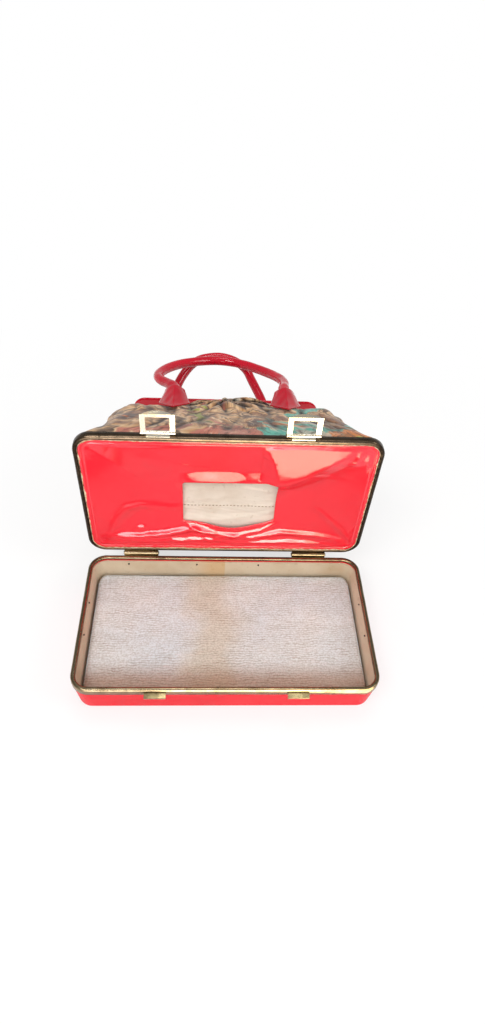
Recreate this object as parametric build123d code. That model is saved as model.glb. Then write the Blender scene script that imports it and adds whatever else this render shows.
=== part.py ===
# Handbag with a hard hinged bottom tray, modelled open with the soft bag lying behind the tray.
# Every piece is drawn with the bag closed and upright: X to the right, Y to the back, Z up,
# y = 0 on the back outer face of both metal frames and z = 0 where the two frames meet.
# on_tray() and on_bag() then set each piece in the part's own frame, whose origin is the
# centre of the tray's bottom face. The bag is turned back about the hinge by open_angle.
import os
from math import cos, pi, radians, sin, tan
from build123d import *

# Overall sizes, millimetres and degrees
width = 320.0
depth = 176.0
tray_height = 46.0
bag_height = 172.0
open_angle = 90.0
corner_radius = 20.0
fit_gap = 0.2

# Metal channel frames
frame_height = 8.0
frame_sheet = 0.8
frame_lip = 5.2
frame_curl = 2.2
mating_gap = 0.5

# Tray
shell_wall = 3.0
shell_floor = 3.0
shell_taper = 4.0
shell_bottom_radius = 7.0
lining_sheet = 0.8
lining_top_drop = 6.5
lining_lap_width = 24.0
lining_lap_sheet = 0.5
floor_board = 2.6
pad_drop = 25.0
pad_side_gap = 2.6
pad_corner_radius = 14.0
pad_edge_radius = 3.0
tack_radius = 0.9
tack_length = 1.2
tack_depth = 11.0
back_tacks = (-115.0, -34.0, 40.0)
side_tacks = (-62.0, -104.0)

# Hinges
hinge_end = 60.0
hinge_length = 40.0
hinge_middle = 18.4
hinge_offset = 3.0
knuckle_radius = 2.4
hinge_pin_radius = 1.1
pin_clearance = 0.06
leaf_sheet = 1.0
leaf_height = 7.0

# Bail latches and their catches
latch_end = 87.0
bail_width = 34.4
bail_bar = 5.2
bail_sheet = 1.5
bail_inner_reach = 19.6
bail_end_bar = 3.4
bail_lip_depth = 4.6
bail_lip_angle = 38.0
bail_eye_radius = 2.2
bail_pivot_offset = 2.9
bail_pivot_height = 4.6
latch_pin_radius = 0.9
bracket_sheet = 0.6
catch_width = 22.0
catch_reach = 5.8
catch_top = 3.6
catch_bottom = 12.9
catch_sheet = 1.2

# Base panel under the bag, with its window
panel_sheet = 1.5
panel_flange = 4.4
panel_height = 0.8
dish_depth = 8.4
dish_flat_side = 48.0
dish_flat_front = 34.0
dish_flat_back = 60.0
dish_flat_radius = 18.0
window_width = 104.0
window_depth = 60.0
window_shift = 2.0
window_front = 70.0
window_radius = 6.0
board_sheet = 2.0
board_inset = 11.0
window_cloth_margin = 9.0

# Soft body: wall, gathers, and the outline at each height
cloth_wall = 2.4
frame_tuck = 1.6
frame_tuck_low = 1.8
seam_gap = 0.6
front_waves = 7
side_waves = 2
belly_rise = 2.0
band_height = 45.0
band_sheet = 2.2
liner_inset = 6.0
liner_sheet = 0.8
liner_top_drop = 3.0

# Top closure
top_sheet = 1.3
top_inset = 1.0
zip_end_room = 62.0
zip_slot_room = 3.0
tape_overrun = 6.0
zip_slot = 6.4
tape_width = 12.0
tape_sheet = 0.8
chain_width = 4.8
chain_height = 2.2
tooth_pitch = 2.8
tooth_gap = 0.9
tooth_depth = 0.7
slider_length = 10.0
slider_width = 8.0
slider_sheet = 1.2
slider_ear = 1.0
pull_length = 24.0
pull_width = 5.2
pull_sheet = 1.1
pull_eye_radius = 1.5
pull_pin_radius = 0.8

# Handles and the tabs that hold them
handle_radius = 6.0
handle_skin = 1.1
tab_half = 18.0
front_tab_down = 32.0
rear_tab_down = 27.0
tab_up = 27.0
tab_sheet = 1.6
tab_mouth = 9.5
tab_mouth_tilt = 0.35
tab_neck_up = 17.0
tab_neck_out = 14.4
tab_lead = 9.0
tab_below_band = 7.0
tab_end = (97.0, 92.0)
clear_gap = 0.9
rear_clear_gap = 3.6
front_tab_slope = 0.59
rear_tab_slope = -0.9
front_route = ((-1.42, 14.0, 43.5), (-1.26, 24.0, 78.0), (-0.88, 33.0, 106.5), (-0.25, 40.0, 125.0),
               (0.27, 40.0, 119.0), (0.76, 32.0, 89.0), (1.09, 18.0, 50.0))
rear_route = ((-1.09, -24.0, 40.0), (-1.14, -54.0, 68.0), (-1.10, -88.0, 90.0), (-0.93, -104.0, 110.0),
              (-0.66, -112.0, 133.0), (-0.25, -114.0, 141.0), (0.10, -112.0, 138.0), (0.40, -106.0, 126.0),
              (0.52, -98.0, 108.0), (0.80, -82.0, 71.0), (0.94, -44.0, 38.0))

# Gathered knot at the middle of the front. Each fold: turn about the pinch and length.
knot_x = -4.0
knot_up = 18.0
knot_proud = 15.0
knot_crease = 0.62
knot_step = 15.0
knot_folds = ((0.0, 44.0), (30.0, 40.0), (60.0, 30.0), (90.0, 22.0), (120.0, 22.0), (150.0, 26.0),
              (180.0, 30.0), (210.0, 36.0), (240.0, 38.0), (270.0, 34.0), (300.0, 36.0), (330.0, 42.0))

hinge_centre = width / 2 - hinge_end
latch_centre = width / 2 - latch_end
tab_x = (tab_end[0] - width / 2, width / 2 - tab_end[1])
tab_height = bag_height - band_height - tab_below_band
hinge_radius_clear = knuckle_radius + 0.35
floor_y = hinge_offset + tray_height
middle_y = -depth / 2
panel_flat_top = mating_gap / 2 + panel_height + dish_depth + panel_sheet
liner_floor = panel_flat_top + board_sheet + tape_sheet + 4 * fit_gap
zip_length = width - 2 * zip_end_room


def on_tray(shape):
    # Tray pieces keep their attitude and move so that the tray's bottom centre is the origin.
    return Pos(0, depth / 2, tray_height) * shape


def on_bag(shape):
    # Bag pieces turn back about the hinge axis from upright to the open rest pose.
    return Pos(0, depth / 2 + hinge_offset, tray_height) * (
        Rot(-open_angle, 0, 0) * (Pos(0, -hinge_offset, 0) * shape))


def rim_face(inset, z):
    # The frames' rounded rectangle, drawn in by inset, at height z.
    return Pos(0, middle_y, z) * RectangleRounded(
        width - 2 * inset, depth - 2 * inset, max(corner_radius - inset, 1.0))


def rim_plate(inset, z_low, z_high):
    return extrude(rim_face(inset, z_low), z_high - z_low)


def rim_taper(inset_high, inset_low, z_high, z_low):
    return loft([rim_face(inset_high, z_high), rim_face(inset_low, z_low)], ruled=True)


def block(x0, x1, y0, y1, z0, z1):
    return Pos((x0 + x1) / 2, (y0 + y1) / 2, (z0 + z1) / 2) * Box(x1 - x0, y1 - y0, z1 - z0)


def rod(x0, x1, y, z, radius):
    # A round bar along X.
    return Pos((x0 + x1) / 2, y, z) * Rot(0, 90, 0) * Cylinder(radius, x1 - x0)


def side_profile(points, x0, x1):
    # A closed outline in the YZ plane, carried along X.
    outline = make_face(Polyline(*[(0, y, z) for y, z in points], close=True))
    return Pos(x0, 0, 0) * extrude(outline, x1 - x0, dir=(1, 0, 0))


# Tray
def frame_channel(face_z, up):
    # A thin channel: outer wall, lip on the mating face and a short curl inside.
    wall = rim_plate(0, *sorted((face_z, face_z + up * frame_height)))
    wall -= rim_plate(frame_sheet, *sorted((face_z + up * frame_sheet, face_z + up * 2 * frame_height)))
    mouth = rim_plate(frame_lip, face_z - frame_height, face_z + frame_height)
    curl = rim_plate(frame_lip - frame_sheet, *sorted((face_z, face_z + up * (frame_sheet + frame_curl))))
    return wall + curl - mouth


shell_outset = frame_sheet + fit_gap / 2
shell_inset = shell_outset + shell_wall
shell_top = -mating_gap / 2 - frame_sheet - fit_gap / 2
skirt_z = -mating_gap / 2 - frame_height - 1.0
bottom_z = -tray_height
floor_z = bottom_z + shell_floor


def wall_inset(z):
    # How far the tray's inner wall face stands in from the frame at height z.
    return shell_inset + shell_taper * max(0.0, skirt_z - z) / (skirt_z - bottom_z)


def make_tray_shell():
    body = rim_plate(shell_outset, skirt_z, shell_top)
    skirt = rim_taper(shell_outset, shell_outset + shell_taper, skirt_z, bottom_z)
    skirt = fillet(skirt.faces().sort_by(Axis.Z)[0].edges(), shell_bottom_radius)
    hollow = rim_plate(shell_inset, skirt_z, 1)
    hollow += rim_taper(shell_inset, wall_inset(floor_z), skirt_z, floor_z)
    return body + skirt - hollow


def make_tray_lining():
    top = -lining_top_drop
    outer, inner = fit_gap / 2, fit_gap / 2 + lining_sheet
    ring = None
    for grow, sign in ((outer, 1), (inner, -1)):
        body = rim_plate(shell_inset + grow, skirt_z, top)
        body += rim_taper(shell_inset + grow, wall_inset(floor_z) + grow, skirt_z, floor_z + fit_gap)
        ring = body if sign > 0 else ring - body
    # The lap at the back, where one end of the lining passes over the other.
    lap_low = floor_z + floor_board + 2 * fit_gap
    keep = None
    for grow, sign in ((inner, 1), (inner + lining_lap_sheet, -1)):
        body = rim_plate(shell_inset + grow, skirt_z, top)
        body += rim_taper(shell_inset + grow, wall_inset(floor_z) + grow, skirt_z, floor_z + fit_gap)
        keep = body if sign > 0 else keep - body
    back = -shell_inset - shell_taper - inner - 2 * lining_lap_sheet
    return ring + (keep & block(-lining_lap_width, 0, back, 0, lap_low, top))


def make_floor_board():
    inset = wall_inset(floor_z) + lining_sheet + 2 * fit_gap
    return rim_plate(inset, floor_z + fit_gap / 2, floor_z + fit_gap / 2 + floor_board)


def make_tray_pad():
    inset = wall_inset(-pad_drop) + lining_sheet + pad_side_gap
    low = floor_z + floor_board + fit_gap
    face = Pos(0, middle_y, low) * RectangleRounded(width - 2 * inset, depth - 2 * inset, pad_corner_radius)
    pad = extrude(face, -pad_drop - low)
    return fillet(pad.faces().sort_by(Axis.Z)[-1].edges(), pad_edge_radius)


def make_frame_tacks():
    # Short tacks that pin the lining to the board walls.
    z = -tack_depth
    inset = wall_inset(z - tack_radius) + fit_gap / 2 + lining_sheet
    tacks = []
    for x in back_tacks:
        for y in (-inset - tack_length / 2, inset - depth + tack_length / 2):
            tacks.append(Pos(x, y, z) * Rot(90, 0, 0) * Cylinder(tack_radius, tack_length))
    for y in side_tacks:
        for side in (-1, 1):
            x = side * (width / 2 - inset - tack_length / 2)
            tacks.append(Pos(x, y, z) * Rot(0, 90, 0) * Cylinder(tack_radius, tack_length))
    return Compound(children=[t.solid() for t in tacks])


def make_catch(x):
    # A sheet hook: a ledge out of the frame's front wall, turned down into a sloping nose.
    y = -depth
    nose_low = (y - 2.6, -catch_bottom)
    outline = [
        (y, -catch_top), (y - catch_reach, -catch_top - 0.8), (y - catch_reach, -catch_top - 2.2),
        nose_low, (nose_low[0] + 1.0, nose_low[1] + 0.4),
        (y - catch_reach + catch_sheet, -catch_top - 2.4), (y, -catch_top - catch_sheet - 0.2)]
    half = catch_width / 2
    back = block(x - half, x + half, y - catch_sheet, y, -catch_top - 4, -catch_top)
    return side_profile(outline, x - half, x + half) + back


# Hinges
def hinge_leaf(x, up):
    # One leaf with its rolled knuckles: the bag's leaf has the middle knuckle, the tray's the ends.
    half, middle = hinge_length / 2, hinge_middle / 2
    face = mating_gap / 2 + 0.2
    clear = hinge_radius_clear
    ends = [(-half, -middle - fit_gap), (middle + fit_gap, half)]
    own, other = ([(-middle, middle)], ends) if up > 0 else (ends, [(-middle, middle)])
    leaf = block(x - half, x + half, 0, leaf_sheet, *sorted((up * face, up * (face + leaf_height))))
    for x0, x1 in own:
        wrap = [(0, up * face), (0, up * (face + leaf_height - 1)), (leaf_sheet, up * (face + leaf_height - 1)),
                (hinge_offset, up * (knuckle_radius - 0.1)), (hinge_offset, up * face)]
        leaf += side_profile(wrap, x + x0, x + x1)
        leaf += rod(x + x0, x + x1, hinge_offset, 0, knuckle_radius)
    for x0, x1 in other:
        leaf -= rod(x + x0 - fit_gap, x + x1 + fit_gap, hinge_offset, 0, clear)
    return leaf - rod(x - half - 1, x + half + 1, hinge_offset, 0, hinge_pin_radius + pin_clearance)


def make_hinge_pin(x):
    half = hinge_length / 2
    pin = rod(x - half - 0.2, x + half + 0.2, hinge_offset, 0, hinge_pin_radius)
    for side in (-1, 1):
        ends = sorted((x + side * (half + 0.1), x + side * (half + 0.8)))
        pin += rod(*ends, hinge_offset, 0, hinge_pin_radius + 0.7)
    return pin


# Latches
bail_y = -depth - bail_pivot_offset
bail_z = mating_gap / 2 + bail_pivot_height


def make_latch_bracket(x):
    # A plate on the frame's front wall with the barrel that the bail hangs in.
    half = bail_width / 2 - bail_bar - fit_gap
    low, high = mating_gap / 2 + 0.4, mating_gap / 2 + frame_height - 0.4
    plate = block(x - half, x + half, -depth - bracket_sheet, -depth, low, high)
    wrap = [(-depth, low), (-depth, bail_z + 1.4), (bail_y, bail_z + bail_eye_radius - 0.1),
            (bail_y, bail_z - bail_eye_radius + 0.1)]
    barrel = rod(x - half, x + half, bail_y, bail_z, bail_eye_radius)
    bore = rod(x - half - 1, x + half + 1, bail_y, bail_z, latch_pin_radius + pin_clearance)
    return plate + side_profile(wrap, x - half, x + half) + barrel - bore


def make_latch_pin(x):
    half = bail_width / 2
    pin = rod(x - half - 0.2, x + half + 0.2, bail_y, bail_z, latch_pin_radius)
    for side in (-1, 1):
        ends = sorted((x + side * (half + 0.1), x + side * (half + 0.7)))
        pin += rod(*ends, bail_y, bail_z, latch_pin_radius + 0.6)
    return pin


def make_bail(x):
    # A stamped loop, drawn standing straight out of the frame, with a bowed lip at its far end.
    half = bail_width / 2
    reach = bail_inner_reach + bail_end_bar
    plate = block(x - half, x + half, bail_y - reach, bail_y - 0.6,
                  bail_z - bail_sheet / 2, bail_z + bail_sheet / 2)
    inside = block(x - half + bail_bar, x + half - bail_bar, bail_y - bail_inner_reach, bail_y + 1,
                   bail_z - bail_sheet, bail_z + bail_sheet)
    lip_outline = make_face([
        Line((-half, 0, 0), (half, 0, 0)),
        ThreePointArc((half, 0, 0), (0, -bail_lip_depth, 0), (-half, 0, 0))])
    lip = Pos(x, bail_y - reach + 0.8, bail_z - bail_sheet / 2) * Rot(-bail_lip_angle, 0, 0) * extrude(
        lip_outline, bail_sheet * 0.8)
    loop = plate - inside + lip
    for x0, x1 in ((-half, -half + bail_bar), (half - bail_bar, half)):
        loop += rod(x + x0, x + x1, bail_y, bail_z, bail_eye_radius)
    return loop - rod(x - half - 1, x + half + 1, bail_y, bail_z, latch_pin_radius + pin_clearance)


# Base panel and what lies over it
dish_front_y = -depth + dish_flat_front
dish_back_y = -dish_flat_back
window_y = -depth + window_front + window_depth / 2


def dish_face(grow, z):
    return Pos(0, (dish_front_y + dish_back_y) / 2, z) * RectangleRounded(
        2 * (width / 2 - dish_flat_side + grow), dish_back_y - dish_front_y + 2 * grow, dish_flat_radius + grow)


def window_prism(grow, z_low, z_high):
    face = Pos(window_shift, window_y, z_low) * RectangleRounded(
        window_width + 2 * grow, window_depth + 2 * grow, window_radius + grow)
    return extrude(face, z_high - z_low)


def make_base_panel():
    # A flat flange inside the frame and a shallow dish that rises to a flat middle.
    low = mating_gap / 2 + panel_height
    flange_inset = frame_lip + fit_gap
    dish_inset = flange_inset + panel_flange
    outer = loft([rim_face(dish_inset - panel_sheet, low), dish_face(panel_sheet, low + dish_depth + panel_sheet)],
                 ruled=True)
    outer += rim_plate(flange_inset, low, low + panel_sheet)
    dish = loft([rim_face(dish_inset, low), dish_face(0, low + dish_depth)], ruled=True)
    return outer - dish - window_prism(0, 0, panel_flat_top + 5)


def make_base_board():
    low = panel_flat_top + fit_gap
    board = rim_plate(board_inset, low, low + board_sheet)
    return board - window_prism(3, low - 1, low + 2 * board_sheet)


def make_window_lining():
    low = panel_flat_top + board_sheet + 2 * fit_gap
    return window_prism(window_cloth_margin, low, low + tape_sheet)


# Soft body
# Each row: height, half width, front face, back face, corner radius, gather depth.
neck_z = bag_height - band_height
body_rows = (
    (frame_tuck_low, width / 2 - frame_tuck, -depth + frame_tuck, -frame_tuck, corner_radius - frame_tuck, 0.0),
    (frame_height + 1.0, width / 2 - frame_tuck, -depth + frame_tuck, -frame_tuck, corner_radius - frame_tuck, 0.0),
    (22.0, width / 2 - 9.0, -depth + 7.0, 12.0, 22.0, 1.8),
    (50.0, width / 2 - 19.0, -depth + 20.0, floor_y - belly_rise - 3.0, 27.0, 4.0),
    (neck_z - 43.0, width / 2 - 24.0, -depth + 37.0, floor_y - belly_rise, 27.0, 5.0),
    (neck_z - 11.0, width / 2 - 29.0, -depth + 53.0, 23.0, 24.0, 5.4),
    (neck_z, width / 2 - 39.0, -depth + 61.0, 12.0, 18.0, 0.8),
)
band_rows = (
    (neck_z + fit_gap, width / 2 - 38.4, -depth + 60.4, 12.6, 18.0, 0.0),
    (neck_z + 0.5 * band_height, width / 2 - 41.4, -depth + 71.4, -9.4, 16.0, 0.0),
    (bag_height, width / 2 - 43.4, -depth + 82.4, -32.4, 14.0, 0.0),
)
crest_row = body_rows[5]
per_wave = 4
corner_steps = 4


def outline_points(row, grow, waves):
    # Points once round the body at one height, from the middle of the left side over the front.
    # Every height has as many points, so the panels lofted through them don't twist.
    z, half, front, back, radius, gather = row
    half, front, back = half + grow, front - grow, back + grow
    radius = max(radius + grow, 1.0)
    straight_x, straight_y = 2 * (half - radius), back - front - 2 * radius
    sides = (((-half, back - radius), (0, -1), straight_y, side_waves, 180),
             ((-half + radius, front), (1, 0), straight_x, front_waves, 270),
             ((half, front + radius), (0, 1), straight_y, side_waves, 0),
             ((half - radius, back), (-1, 0), straight_x, front_waves, 90))
    points = []
    for (x, y), (dx, dy), length, count, facing in sides:
        steps = count * per_wave
        nx, ny = cos(radians(facing)), sin(radians(facing))
        for i in range(steps + 1):
            push = waves * gather * 0.5 * (1 - cos(2 * pi * i / per_wave))
            along = length * i / steps
            points.append(Vector(x + dx * along + nx * push, y + dy * along + ny * push, z))
        centre_x, centre_y = x + dx * length - nx * radius, y + dy * length - ny * radius
        for j in range(1, corner_steps):
            a = radians(facing + 90 * j / corner_steps)
            points.append(Vector(centre_x + radius * cos(a), centre_y + radius * sin(a), z))
    half_side = side_waves * per_wave // 2
    return points[half_side:] + points[:half_side]


side_half = side_waves * per_wave // 2
corner_half = corner_steps // 2
front_span = front_waves * per_wave
loop_points = 2 * (side_waves * per_wave + front_span) + 4 * corner_steps
left_front_seam = side_half + corner_half
right_front_seam = left_front_seam + 2 * corner_half + front_span
right_back_seam = right_front_seam + 2 * corner_half + 2 * side_half
left_back_seam = right_back_seam + 2 * corner_half + front_span
right_middle = right_front_seam + corner_half + side_half


def panel_face(row, first, last, outer_grow, inner_grow, waves):
    # One panel's cut at one height: the gathered outside, the plain inside and two sewn ends.
    walls = []
    for grow, ripple in ((outer_grow, waves), (inner_grow, 0)):
        loop = outline_points(row, grow, ripple)
        run = [loop[i % loop_points] for i in range(first, last + 1)]
        run[0] += (run[1] - run[0]).normalized() * seam_gap / 2
        run[-1] += (run[-2] - run[-1]).normalized() * seam_gap / 2
        walls.append(run)
    outside, inside = walls
    return make_face([Edge.make_spline(outside), Edge.make_line(outside[-1], inside[-1]),
                      Edge.make_spline(inside[::-1]), Edge.make_line(inside[0], outside[0])])


def make_panel(first, last, outer_grow=0.0, inner_grow=-cloth_wall, waves=1, rows=body_rows):
    return loft([panel_face(row, first, last, outer_grow, inner_grow, waves) for row in rows])


def make_back_panel():
    # The lowest gathers are pressed flat where the open bag lies on the floor.
    under_floor = block(-width, width, floor_y, floor_y + depth, 0, bag_height)
    return make_panel(right_back_seam, left_back_seam) - under_floor


def make_bag_lining():
    # A thin inner bag, closed at the bottom, that hangs inside the cloth.
    share = (liner_floor - body_rows[1][0]) / (body_rows[2][0] - body_rows[1][0])
    foot = tuple(a + share * (b - a) for a, b in zip(body_rows[1], body_rows[2]))
    rows = (foot,) + body_rows[2:5] + (band_rows[0], band_rows[-1])
    shells = []
    for inset, lift in ((liner_inset, 0), (liner_inset + liner_sheet, liner_sheet)):
        faces = []
        for z, half, front, back, radius, gather in rows:
            z += lift if z == foot[0] else -liner_top_drop if z == bag_height else 0
            faces.append(Pos(0, (front + back) / 2, z) * RectangleRounded(
                2 * (half - inset), back - front - 2 * inset, radius - inset))
        shells.append(loft(faces, ruled=True))
    return shells[0] - shells[1]


def make_top_band(first, last):
    # The gathers are sewn into the band, which carries on upward as the wall of the bag.
    return make_panel(first, last, 0, -band_sheet, 0, band_rows)


def clear_face(back):
    # The plane that tabs and the knot sit on: it just clears the gathers below the band.
    rear, front = (rear_tab_slope, 3, 1, rear_clear_gap), (front_tab_slope, 2, -1, clear_gap)
    slope, edge, out, gap = rear if back else front
    y = crest_row[edge] + out * (crest_row[5] + gap)
    along = Vector(0, slope, 1).normalized()
    normal = Vector(1, 0, 0).cross(along) if back is False else along.cross(Vector(1, 0, 0))
    origin = Vector(0, y, crest_row[0]) + along * ((tab_height - crest_row[0]) / along.Z)
    return Plane(origin=origin, x_dir=(1, 0, 0) if not back else (-1, 0, 0), z_dir=normal)


# Top closure
top_row = band_rows[-1]
top_y = (top_row[2] + top_row[3]) / 2
top_depth = top_row[3] - top_row[2]


def make_top_panel():
    face = Pos(0, top_y, bag_height + fit_gap / 2) * RectangleRounded(
        2 * (top_row[1] - top_inset), top_depth - 2 * top_inset, top_row[4] - top_inset)
    slot_half = zip_length / 2 + zip_slot_room
    slot = block(-slot_half, slot_half, top_y - zip_slot / 2, top_y + zip_slot / 2,
                 bag_height - 1, bag_height + 2 * top_sheet)
    return extrude(face, top_sheet) - slot


def make_zip_tape(side):
    near, far = chain_width / 2 + fit_gap, chain_width / 2 + tape_width
    y0, y1 = sorted((top_y + side * near, top_y + side * far))
    half = zip_length / 2 + tape_overrun
    return block(-half, half, y0, y1, bag_height - tape_sheet, bag_height)


def make_zip_chain():
    low = bag_height - tape_sheet
    chain = block(-zip_length / 2, zip_length / 2, top_y - chain_width / 2, top_y + chain_width / 2,
                  low, low + chain_height)
    count = int(zip_length / tooth_pitch)
    for i in range(count):
        x = -zip_length / 2 + (i + 0.5) * tooth_pitch
        chain -= block(x - tooth_gap / 2, x + tooth_gap / 2, top_y - chain_width, top_y + chain_width,
                       low + chain_height - tooth_depth, low + 2 * chain_height)
    return chain


slider_x = -zip_length / 2 + slider_length
slider_low = bag_height - tape_sheet + chain_height + 0.35
pull_axis_z = slider_low + slider_sheet + pull_eye_radius + 0.3


def make_zip_slider():
    plate = block(slider_x - slider_length / 2, slider_x + slider_length / 2, top_y - slider_width / 2,
                  top_y + slider_width / 2, slider_low, slider_low + slider_sheet)
    plate = fillet(plate.edges().filter_by(Axis.Z), 2.4)
    for side in (-1, 1):
        y0, y1 = sorted((top_y + side * pull_width / 2 + side * fit_gap,
                         top_y + side * (pull_width / 2 + fit_gap + slider_ear)))
        plate += block(slider_x - 1.6, slider_x + 1.6, y0, y1, slider_low, pull_axis_z + 1.4)
    pin = Pos(slider_x, top_y, pull_axis_z) * Rot(90, 0, 0) * Cylinder(
        pull_pin_radius, pull_width + 2 * fit_gap + 2 * slider_ear)
    return plate + pin


def make_zip_pull():
    eye = Pos(slider_x, top_y, pull_axis_z) * Rot(90, 0, 0) * Cylinder(pull_eye_radius, pull_width)
    tongue = block(slider_x, slider_x + pull_length, top_y - pull_width / 2, top_y + pull_width / 2,
                   pull_axis_z - pull_sheet / 2, pull_axis_z + pull_sheet / 2)
    tongue = fillet(tongue.edges().filter_by(Axis.Z).group_by(Axis.X)[-1], 2.2)
    bore = Pos(slider_x, top_y, pull_axis_z) * Rot(90, 0, 0) * Cylinder(
        pull_pin_radius + pin_clearance, pull_width + 2)
    return eye + tongue - bore


# Handles
def tube_path(points):
    # Straight runs joined by tangent arcs as large as the two runs allow.
    vectors = [Vector(*p) for p in points]
    radii = []
    for a, b, c in zip(vectors, vectors[1:], vectors[2:]):
        turn = radians((b - a).get_angle(c - b))
        radii.append(0.45 * min((b - a).length, (c - b).length) / tan(turn / 2))
    print("tube bend radii", [round(r) for r in radii])
    return FilletPolyline(*vectors, radius=radii)


def make_tube(points, outer, inner):
    path = tube_path(points)
    start = Plane(origin=path @ 0, z_dir=path % 0)
    ring = start * Circle(outer)
    if inner > 0:
        ring -= start * Circle(inner)
    return sweep(ring, path=path)


def tab_neck(x, back):
    # The middle of the tab's mouth, where the handle tube comes out.
    face = clear_face(back)
    return Vector(x, 0, 0) + face.origin + face.y_dir * tab_neck_up + face.z_dir * tab_neck_out


def make_handle_tab(x, back):
    # A folded four-cornered tab that rises like a pyramid from the cloth to the handle's mouth.
    face = clear_face(back)
    down = rear_tab_down if back else front_tab_down
    foot = Vector(x, 0, 0) + face.origin

    def corner(across, up, out):
        return foot + face.x_dir * across + face.y_dir * up + face.z_dir * out

    low, high = [make_face(Polyline(corner(-tab_half, 0, out), corner(0, -down, out), corner(tab_half, 0, out),
                                    corner(0, tab_up, out), close=True)) for out in (0, tab_sheet)]
    plate = extrude(low, tab_sheet, dir=face.z_dir)
    axis = (face.y_dir + face.z_dir * tab_mouth_tilt).normalized()
    upright = face.x_dir.cross(axis)
    neck = tab_neck(x, back)
    mouth = make_face(Polyline(neck - face.x_dir * tab_mouth, neck - upright * tab_mouth,
                               neck + face.x_dir * tab_mouth, neck + upright * tab_mouth, close=True))
    return plate + loft([high, mouth], ruled=True)


def handle_points(back):
    # The handle's route between its two mouths: share across, set back and lift, from the mouths.
    route = rear_route if back else front_route
    start, end = tab_neck(tab_x[0], back), tab_neck(tab_x[1], back)
    middle, half = (start.X + end.X) / 2, (end.X - start.X) / 2
    axis = (end - start).normalized()
    face = clear_face(back)
    lead = (face.y_dir + face.z_dir * tab_mouth_tilt).normalized()
    points = [start + lead * fit_gap, start + lead * tab_lead]
    points += [Vector(middle + share * half, start.Y + lean, start.Z + lift) for share, lean, lift in route]
    points += [end + lead * tab_lead, end + lead * fit_gap]
    return points


def make_knot():
    # Folds of cloth that fan out of one pinch: ridges and creases around it, on the clear plane.
    face = clear_face(False)
    face.origin += face.x_dir * knot_x + face.y_dir * knot_up
    levels = []
    for share, out in ((1.0, 0.0), (0.86, 0.55), (0.42, 1.0)):
        points = []
        for turn, reach in knot_folds:
            for radius, swing in ((reach, 0.0), (reach * knot_crease, knot_step)):
                a = radians(turn + swing)
                points.append((share * radius * cos(a), share * radius * sin(a)))
        levels.append(make_face(Polyline(*points, close=True)).moved(Location((0, 0, out * knot_proud))))
    return face.location * loft(levels, ruled=True)


def make_parts():
    parts = {}
    parts["tray_shell"] = on_tray(make_tray_shell())
    parts["tray_frame"] = on_tray(frame_channel(-mating_gap / 2, -1))
    parts["tray_lining"] = on_tray(make_tray_lining())
    parts["tray_floor"] = on_tray(make_floor_board())
    parts["tray_pad"] = on_tray(make_tray_pad())
    parts["lining_tacks"] = on_tray(make_frame_tacks())
    parts["bag_frame"] = on_bag(frame_channel(mating_gap / 2, 1))
    for name, side in (("left", -1), ("right", 1)):
        parts["catch_" + name] = on_tray(make_catch(side * latch_centre))
        parts["hinge_leaf_lower_" + name] = on_tray(hinge_leaf(side * hinge_centre, -1))
        parts["hinge_pin_" + name] = on_tray(make_hinge_pin(side * hinge_centre))
        parts["hinge_leaf_upper_" + name] = on_bag(hinge_leaf(side * hinge_centre, 1))
        parts["latch_bracket_" + name] = on_bag(make_latch_bracket(side * latch_centre))
        parts["latch_pin_" + name] = on_bag(make_latch_pin(side * latch_centre))
        parts["latch_bail_" + name] = on_bag(make_bail(side * latch_centre))
    parts["base_panel"] = on_bag(make_base_panel())
    parts["base_board"] = on_bag(make_base_board())
    parts["window_lining"] = on_bag(make_window_lining())
    parts["front_panel"] = on_bag(make_panel(left_front_seam, right_front_seam))
    parts["back_panel"] = on_bag(make_back_panel())
    parts["right_gusset"] = on_bag(make_panel(right_front_seam, right_back_seam))
    parts["left_gusset"] = on_bag(make_panel(left_back_seam - loop_points, left_front_seam))
    parts["bag_lining"] = on_bag(make_bag_lining())
    parts["gathered_knot"] = on_bag(make_knot())
    parts["top_band_front"] = on_bag(make_top_band(0, right_middle))
    parts["top_band_back"] = on_bag(make_top_band(right_middle, loop_points))
    for name, back in (("front", False), ("rear", True)):
        points = handle_points(back)
        parts["handle_cover_" + name] = on_bag(make_tube(points, handle_radius, handle_radius - handle_skin))
        parts["handle_core_" + name] = on_bag(make_tube(points, handle_radius - handle_skin - fit_gap, 0))
        for side, x in zip(("left", "right"), tab_x):
            parts["handle_tab_" + name + "_" + side] = on_bag(make_handle_tab(x, back))
    parts["top_panel"] = on_bag(make_top_panel())
    parts["zip_tape_front"] = on_bag(make_zip_tape(-1))
    parts["zip_tape_back"] = on_bag(make_zip_tape(1))
    parts["zip_chain"] = on_bag(make_zip_chain())
    parts["zip_slider"] = on_bag(make_zip_slider())
    parts["zip_pull"] = on_bag(make_zip_pull())
    return parts


os.makedirs("parts", exist_ok=True)
for node, shape in make_parts().items():
    export_step(shape, "parts/" + node + ".step")
    print(node, round(shape.volume, 1))
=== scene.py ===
# Soft handbag hinged on a hard tray, shown open. Pieces that stay rigid are the frame's own
# nodes with new finishes; cloth, vinyl and padding are surfaces worked out here.
from math import radians

import bmesh
import bpy
import numpy as np
from mathutils import Matrix, Vector


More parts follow.
